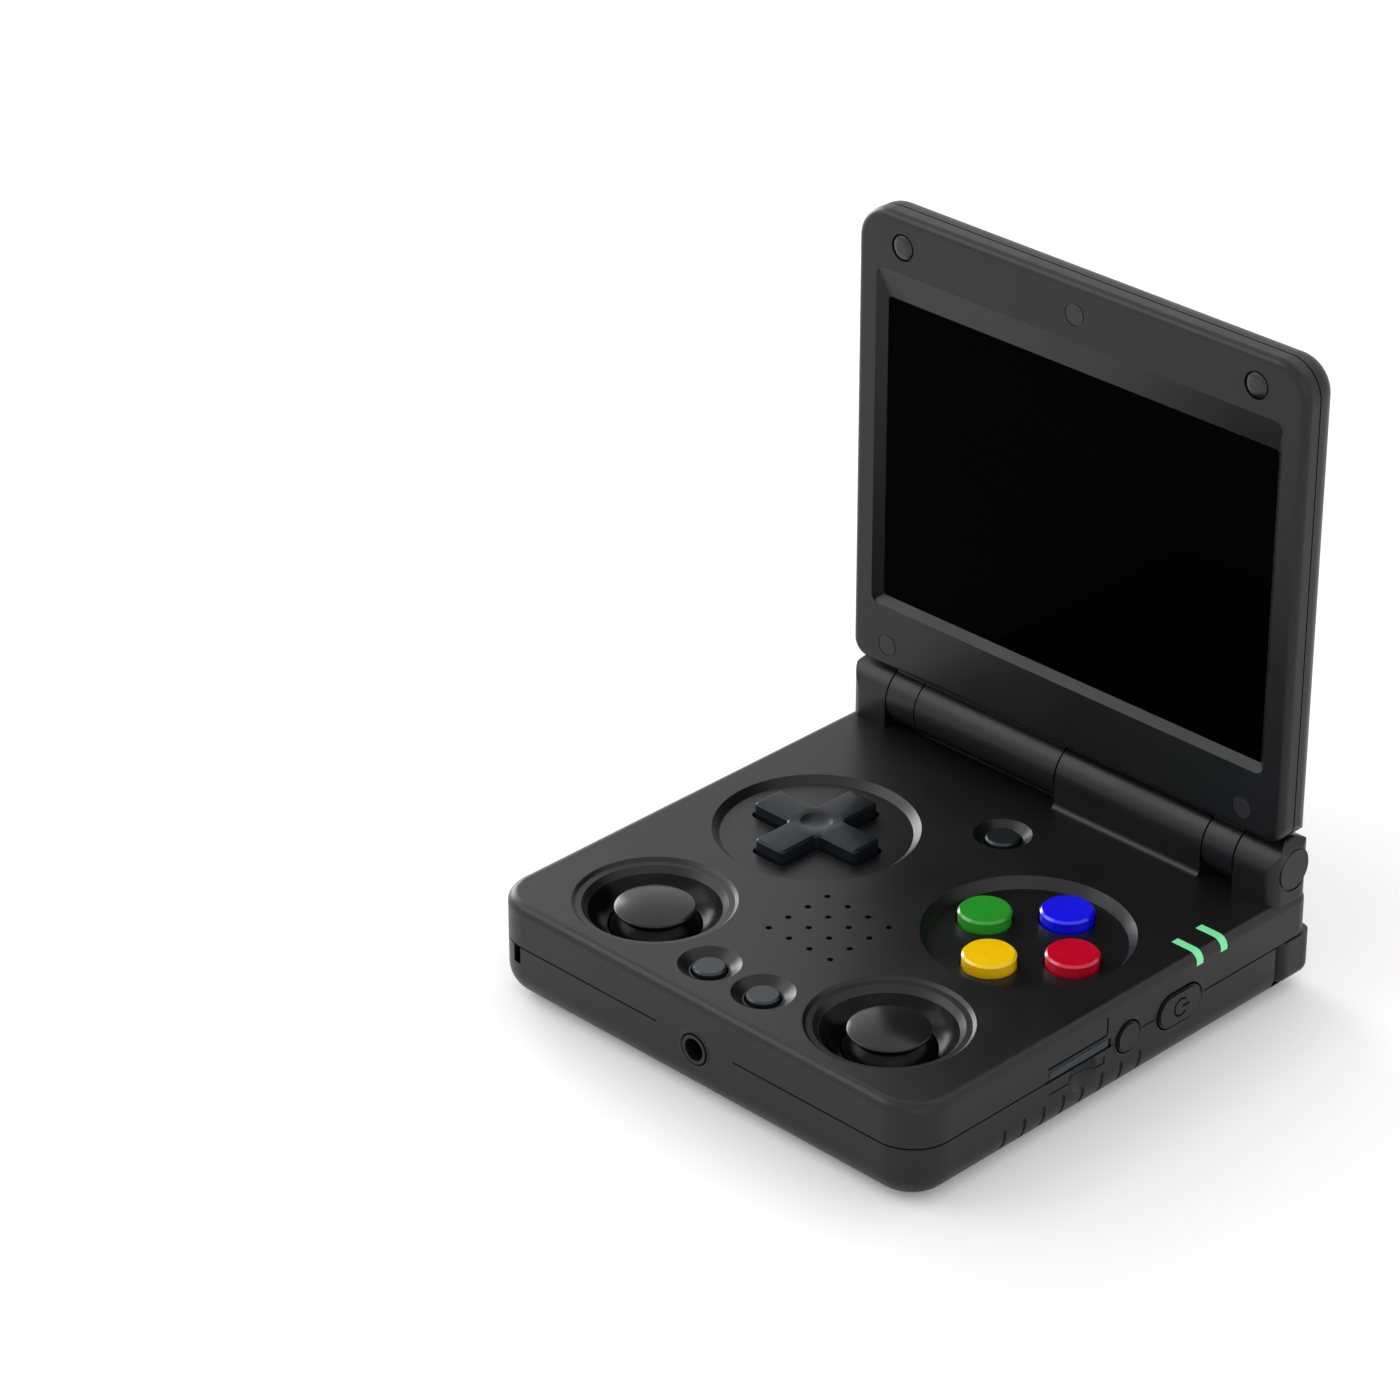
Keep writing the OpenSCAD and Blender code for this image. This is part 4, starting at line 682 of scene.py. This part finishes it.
class CONSOLE_OT_bumpers(bpy.types.Operator):
    """Build the two rubber bumpers at the top of the lid as soft domes"""
    bl_idname = "console.bumpers"
    bl_label = "Lid bumpers"

    def execute(self, context):
        rubber = gloss_plastic("bumper rubber", (0.008, 0.008, 0.0085), 0.28, 0.0, 0.000003)
        low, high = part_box("lid_bumpers")
        radius = (high[2] - low[2]) / 2 / MM
        rise, fall, foot, steps = 0.25, 0.33, -0.6, 14
        dome = [(0.0, rise)]
        for k in range(1, steps + 1):
            t = k / steps
            dome.append((radius * t * 0.96, rise - fall * t ** 4.0))
        dome += [(radius * 0.965, foot), (0.0, foot)]
        parts = []
        for x in (low[0] + radius * MM, high[0] - radius * MM):
            verts, faces = turned(dome, 48)
            centre = Vector((x, low[1] + rise * MM, (low[2] + high[2]) / 2))
            parts.append((facing(verts, centre, "front"), faces))
        verts, faces = joined(*parts)
        piece = add_mesh("lid_bumper_domes", verts, faces, rubber, "lid", True)
        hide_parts("lid_bumpers")
        return {"FINISHED"}


class CONSOLE_OT_side_details(bpy.types.Operator):
    """Add the raised edges round the side buttons and the jack, painted shade in the jack's gap,
    the card slot's cover and its lip with a painted highlight
    """
    bl_idname = "console.side_details"
    bl_label = "Side details"

    def execute(self, context):
        colours, sizes, _ = prefs()
        case = matt_plastic("trim plastic", colours.shell, sizes.shell_rough, sizes.grain,
                            sizes.grain_depth * 0.3)
        self.button_edges(case, sizes.bezel / MM)
        self.jack_edges(case, matt_plastic("gap shade", colours.mark, 0.6, 0.0002, 0.000001, 0.02))
        self.slot_cover(matt_plastic("cover plastic", colours.shell, 0.4, sizes.grain,
                                     sizes.grain_depth * 0.5))
        # Painted highlight: the slot's lip gets a colour much lighter than the case, for the light
        # that its edge catches.
        self.slot_lip(matt_plastic("slot lip highlight", scaled(colours.slate, 2.2), 0.36,
                                   sizes.grain, sizes.grain_depth * 0.5))
        return {"FINISHED"}

    def button_edges(self, plastic, height):
        """Raised edges round the power button and the side button."""
        flange, clear = 0.7, 0.6
        section = [(0.02, -0.3), (0.02, 0.2 * height), (0.18, 0.95 * height), (0.27, height),
                   (0.36, 0.8 * height), (0.5, -0.01), (0.5, -0.05)]
        parts = []
        for name in ("power_button", "side_button"):
            low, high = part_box(name)
            long = (high[1] - low[1]) / MM - 2 * flange + clear
            wide = (high[2] - low[2]) / MM - 2 * flange + clear
            centre = Vector((SIDE_X * MM, (low[1] + high[1]) / 2, (low[2] + high[2]) / 2))
            verts, faces = swept(pill(long, wide), section)
            parts.append((facing(verts, centre, "right"), faces))
        verts, faces = joined(*parts)
        add_mesh("side_button_edges", verts, faces, plastic, "base", True)

    def jack_edges(self, plastic, shade):
        """Rounded collar of the jack, the case's lip round it and the dark gap between them, a
        sheet of painted shade.
        """
        centre = spot(0.0, 0.0, -8.67)
        collar = [(1.82, 0.0), (1.84, 0.1), (1.92, 0.15), (2.3, 0.15), (2.4, 0.1), (2.42, -0.02)]
        lip = [(2.66, -0.02), (2.7, 0.02), (2.86, 0.11), (2.98, 0.12), (3.1, 0.08), (3.2, -0.02)]
        gap = [(2.4, 0.0), (2.4, 0.012), (2.68, 0.012), (2.68, 0.0)]
        verts, faces = joined(turned(collar, 64, closed=True), turned(lip, 64, closed=True))
        add_mesh("jack_edges", facing(verts, centre, "front"), faces, plastic, "base",
                 True)
        # Painted shade: a thin dark sheet on the case in the gap between the collar and the lip.
        verts, faces = turned(gap, 64, closed=True)
        add_mesh("jack_gap", facing(verts, centre, "front"), faces, shade, "base")

    def slot_cover(self, plastic):
        """Cover in the card slot of the shell, with the finger scoop's hollow in its face."""
        reach, low, high, sunk, deep = 6.08, -9.72, -8.58, 0.12, 1.9
        ball, ball_x, ball_y, ball_z = 4.62, SIDE_X + 3.4, CARD_Y + 1.2, -9.2
        wide, tall = 40, 8
        front, back = [], []
        for j in range(tall + 1):
            for i in range(wide + 1):
                y = CARD_Y - reach + 2 * reach * i / wide
                z = low + (high - low) * j / tall
                x = SIDE_X - sunk
                inside = ball ** 2 - (y - ball_y) ** 2 - (z - ball_z) ** 2
                if inside > 0:
                    x = min(x, ball_x - math.sqrt(inside))
                front.append(spot(x, y, z))
                back.append(spot(SIDE_X - deep, y, z))
        row = wide + 1
        count = len(front)
        faces = []
        for j in range(tall):
            for i in range(wide):
                a = j * row + i
                faces.append((a, a + 1, a + row + 1, a + row))
                faces.append((count + a, count + a + row, count + a + row + 1, count + a + 1))
        border = ([i for i in range(row)] + [j * row + wide for j in range(1, tall + 1)]
                  + [tall * row + i for i in range(wide - 1, -1, -1)]
                  + [j * row for j in range(tall - 1, 0, -1)])
        for a, b in zip(border, border[1:] + border[:1]):
            faces.append((a, count + a, count + b, b))
        add_mesh("card_slot_cover", front + back, faces, plastic, "base", True)

    def slot_lip(self, plastic):
        """Raised plate over the card slot, with a rounded edge."""
        edge, height = 0.3, 0.14
        outline = pill(13.0, 1.25, 10)
        section = [(0.0, -0.02), (-0.02, 0.08), (-0.12, 0.13), (-edge, height), (-edge, -0.02)]
        plate = [(u - nu * edge, v - nv * edge, height) for u, v, nu, nv in outline]
        verts, faces = joined(swept(outline, section), (plate, [tuple(range(len(plate)))]))
        add_mesh("card_slot_lip", facing(verts, spot(SIDE_X, CARD_Y + 0.1, -6.35), "right"), faces,
                 plastic, "base", True)


class CONSOLE_OT_marks(bpy.types.Operator):
    """Draw the dark lines of painted shade: the engraved power mark, the card slot's lines and both
    seams
    """
    bl_idname = "console.marks"
    bl_label = "Marks and seams"

    def execute(self, context):
        colours, sizes, _ = prefs()
        # Painted shade: one dark material for the engraved power mark, the card slot's lines and
        # the seams.
        groove_shade = matt_plastic("groove shade", colours.mark, 0.6, 0.0002, 0.000001, 0.02)
        self.power_mark(groove_shade, sizes.power_ring, sizes.line)
        self.base_seam(groove_shade, sizes.seam / MM)
        self.lid_seam(groove_shade, sizes.seam / MM)
        self.slot_marks(groove_shade, sizes.line)
        return {"FINISHED"}

    def power_mark(self, groove_shade, radius, width):
        """Ring, open towards the back, with a bar in its opening: painted shade in the engraved
        power mark.
        """
        low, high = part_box("power_button")
        x, y, z = high[0], (low[1] + high[1]) / 2, (low[2] + high[2]) / 2
        opening, steps = 42, 28
        turns = [math.radians(opening + (360 - 2 * opening) * k / steps) for k in range(steps + 1)]
        ring = [(x, y + radius * math.cos(a), z + radius * math.sin(a)) for a in turns]
        bar = [(x, y + 0.2 * radius, z), (x, y + 1.35 * radius, z)]
        verts, faces = joined(ribbon(ring, width), ribbon(bar, width))
        add_mesh("power_mark", verts, faces, groove_shade, "power_button")

    def slot_marks(self, groove_shade, width):
        """Bracket line over the card slot, the slot's own line and a short tick at its end, painted
        as the shade in their grooves.
        """
        left, right, back, level, corner = 28.6, 41.2, 41.8, -5.1, 0.6
        bend = [(right + corner * math.sin(math.radians(15 * k)),
                 level + corner - corner * math.cos(math.radians(15 * k))) for k in range(7)]
        bracket = [(left, level)] + bend + [(back, -2.0)]
        lines = [ribbon([spot(SIDE_X, y, z) for y, z in bracket], width),
                 ribbon([spot(SIDE_X, y, SEAM_Z) for y in (28.2, 42.6)], 1.3 * width),
                 ribbon([spot(SIDE_X, 42.35, z) for z in (-5.9, -7.35)], 1.5 * width)]
        verts, faces = joined(*lines)
        add_mesh("card_slot_marks", verts, faces, groove_shade, "base")

    def groove(self, rows, wide, wanted):
        """Dark line of painted shade in the bottom of a seam, along the wanted runs of its rows."""
        inset, thick = 0.12, 0.05
        section = [(-inset - thick, -wide / 2), (-inset, -wide / 2), (-inset, wide / 2),
                   (-inset - thick, wide / 2)]
        return joined(*[band(run, section) for run in runs(rows, wanted)])

    def base_seam(self, groove_shade, wide):
        """Paint shade into the seam of the base, but for the jack, the side parts and the back."""
        front, jack, ears, side = 1.0, 8.4, 79.0, 44.0
        right_parts = ((28.0, 42.8), (43.4, 49.6), (52.8, 63.8))
        left_parts = ((27.0, 43.5), (50.0, 67.0))

        def wanted(x, y):
            if y < front:
                return abs(x) > jack
            if y > ears:
                return False
            parts = right_parts if x > side else left_parts if x < -side else ()
            return not any(low < y < high for low, high in parts)

        rows = rounded(SIDE_X, 0.0, BASE_DEPTH, FRONT_CORNER, BACK_CORNER)
        verts, faces = self.groove(rows, wide, wanted)
        add_mesh("base_seam", facing(verts, spot(0.0, 0.0, SEAM_Z), "up"), faces, groove_shade, "base")

    def lid_seam(self, groove_shade, wide):
        """Paint shade into the seam of the lid, but for its edge at the hinge."""
        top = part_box("lid_front_shell")[1][2] / MM
        bottom, clear = top - LID_LENGTH, 3.2
        rows = rounded(SIDE_X, bottom, top, LID_LOW_CORNER, LID_TOP_CORNER)
        verts, faces = self.groove(rows, wide, lambda x, z: z > bottom + clear)
        place = Vector((0.0, LID_SEAM_Y * MM, 0.0))
        add_mesh("lid_seam", facing([(x, z, -h) for x, z, h in verts], place, "front"), faces, groove_shade,
                 "lid")


class CONSOLE_OT_stage(bpy.types.Operator):
    """Set up the floor, the soft studio light and the camera"""
    bl_idname = "console.stage"
    bl_label = "Stage"

    def execute(self, context):
        _, _, stage = prefs()
        scene = context.scene
        floor = Shader("floor").set(spec=0.1, rough=0.8)
        floor.tint(floor.noise(0.3, 2.0), scaled(stage.floor, 0.99), scaled(stage.floor, 1.01))
        floor.bsdf.inputs["Emission Color"].default_value = (1.0, 1.0, 1.0, 1.0)
        seen = floor.add("ShaderNodeLightPath").outputs["Is Camera Ray"]
        floor.link(floor.ramp(seen, 0.0, 1.0, 0.0, 0.12), floor.bsdf.inputs["Emission Strength"])
        mesh = bpy.data.meshes.new("floor")
        half = 3.0
        mesh.from_pydata([(-half, -half, 0), (half, -half, 0), (half, half, 0), (-half, half, 0)],
                         [], [(0, 1, 2, 3)])
        mesh.materials.append(floor.mat)
        ground = bpy.data.objects.new("floor", mesh)
        scene.collection.objects.link(ground)

        def area(name, place, target_height, size, power):
            """Lamp that faces a height over the middle of the floor."""
            data = bpy.data.lights.new(name, "AREA")
            data.shape = "RECTANGLE"
            data.size, data.size_y = size
            data.energy = power
            obj = bpy.data.objects.new(name, data)
            scene.collection.objects.link(obj)
            obj.location = place
            aim = Vector((0.0, 0.0, target_height)) - Vector(place)
            obj.rotation_euler = aim.to_track_quat("-Z", "Y").to_euler()

        area("side", (-0.93, 0.24, 0.26), 0.03, (0.5, 0.5), stage.side)
        area("key", (-0.75, -0.55, 0.75), 0.03, (0.7, 0.7), stage.key)
        area("fill", (0.9, -0.5, 0.5), 0.03, (0.9, 0.9), stage.fill)
        area("rim", (0.1, 0.6, 0.9), 0.05, (0.9, 0.5), stage.rim)

        world = bpy.data.worlds.new("studio")
        scene.world = world
        world.use_nodes = True
        nodes, links = world.node_tree.nodes, world.node_tree.links
        nodes.clear()
        out = nodes.new("ShaderNodeOutputWorld")
        mix = nodes.new("ShaderNodeMixShader")
        path = nodes.new("ShaderNodeLightPath")
        sky = nodes.new("ShaderNodeBackground")
        white = nodes.new("ShaderNodeBackground")
        for light, strength in ((sky, stage.sky), (white, 1.0)):
            light.inputs["Color"].default_value = (1.0, 1.0, 1.0, 1.0)
            light.inputs["Strength"].default_value = strength
        shown = path.outputs["Is Camera Ray"]
        for kind in ("Is Glossy Ray", "Is Transmission Ray"):
            either = nodes.new("ShaderNodeMath")
            either.operation = "MAXIMUM"
            links.new(shown, either.inputs[0])
            links.new(path.outputs[kind], either.inputs[1])
            shown = either.outputs[0]
        links.new(shown, mix.inputs[0])
        links.new(sky.outputs[0], mix.inputs[1])
        links.new(white.outputs[0], mix.inputs[2])
        links.new(mix.outputs[0], out.inputs["Surface"])

        azimuth, elevation, roll = map(math.radians, CAMERA_TURNS)
        back = Vector((math.sin(azimuth) * math.cos(elevation),
                       -math.cos(azimuth) * math.cos(elevation), math.sin(elevation)))
        right = Vector((math.cos(azimuth), math.sin(azimuth), 0.0))
        up = back.cross(right)
        right, up = (right * math.cos(roll) + up * math.sin(roll),
                     up * math.cos(roll) - right * math.sin(roll))
        data = bpy.data.cameras.new("camera")
        data.sensor_width = 36.0
        data.sensor_fit = "HORIZONTAL"
        data.lens = stage.lens
        data.clip_start = 0.05
        camera = bpy.data.objects.new("camera", data)
        scene.collection.objects.link(camera)
        turn = Matrix((right, up, back)).transposed().to_4x4()
        camera.matrix_world = Matrix.Translation(CAMERA_PLACE) @ turn
        scene.camera = camera
        scene.view_settings.view_transform = "Standard"
        return {"FINISHED"}


class CONSOLE_PT_panel(bpy.types.Panel):
    """Lists the steps that build the scene"""
    bl_idname = "CONSOLE_PT_panel"
    bl_label = "Handheld console"
    bl_space_type = "VIEW_3D"
    bl_region_type = "UI"
    bl_category = "Console"

    def draw(self, context):
        layout = self.layout
        for group in (context.scene.console_colours, context.scene.console_sizes,
                      context.scene.console_stage):
            box = layout.box()
            for key in group.bl_rna.properties.keys():
                if key not in {"rna_type", "name"}:
                    box.prop(group, key)
        for kind in OPERATORS:
            layout.operator(kind.bl_idname)


OPERATORS = (CONSOLE_OT_case, CONSOLE_OT_controls, CONSOLE_OT_screen, CONSOLE_OT_hardware,
             CONSOLE_OT_sticks, CONSOLE_OT_pad, CONSOLE_OT_bumpers, CONSOLE_OT_side_details,
             CONSOLE_OT_marks, CONSOLE_OT_stage)
CLASSES = (ConsoleColours, ConsoleSizes, ConsoleStage) + OPERATORS + (CONSOLE_PT_panel,)


def register():
    for kind in CLASSES:
        bpy.utils.register_class(kind)
    bpy.types.Scene.console_colours = PointerProperty(type=ConsoleColours)
    bpy.types.Scene.console_sizes = PointerProperty(type=ConsoleSizes)
    bpy.types.Scene.console_stage = PointerProperty(type=ConsoleStage)


def unregister():
    del bpy.types.Scene.console_colours
    del bpy.types.Scene.console_sizes
    del bpy.types.Scene.console_stage
    for kind in reversed(CLASSES):
        bpy.utils.unregister_class(kind)


def main():
    register()
    bpy.ops.console.case()
    bpy.ops.console.controls()
    bpy.ops.console.screen()
    bpy.ops.console.hardware()
    bpy.ops.console.sticks()
    bpy.ops.console.pad()
    bpy.ops.console.bumpers()
    bpy.ops.console.side_details()
    bpy.ops.console.marks()
    bpy.ops.console.stage()


if __name__ == "__main__":
    main()
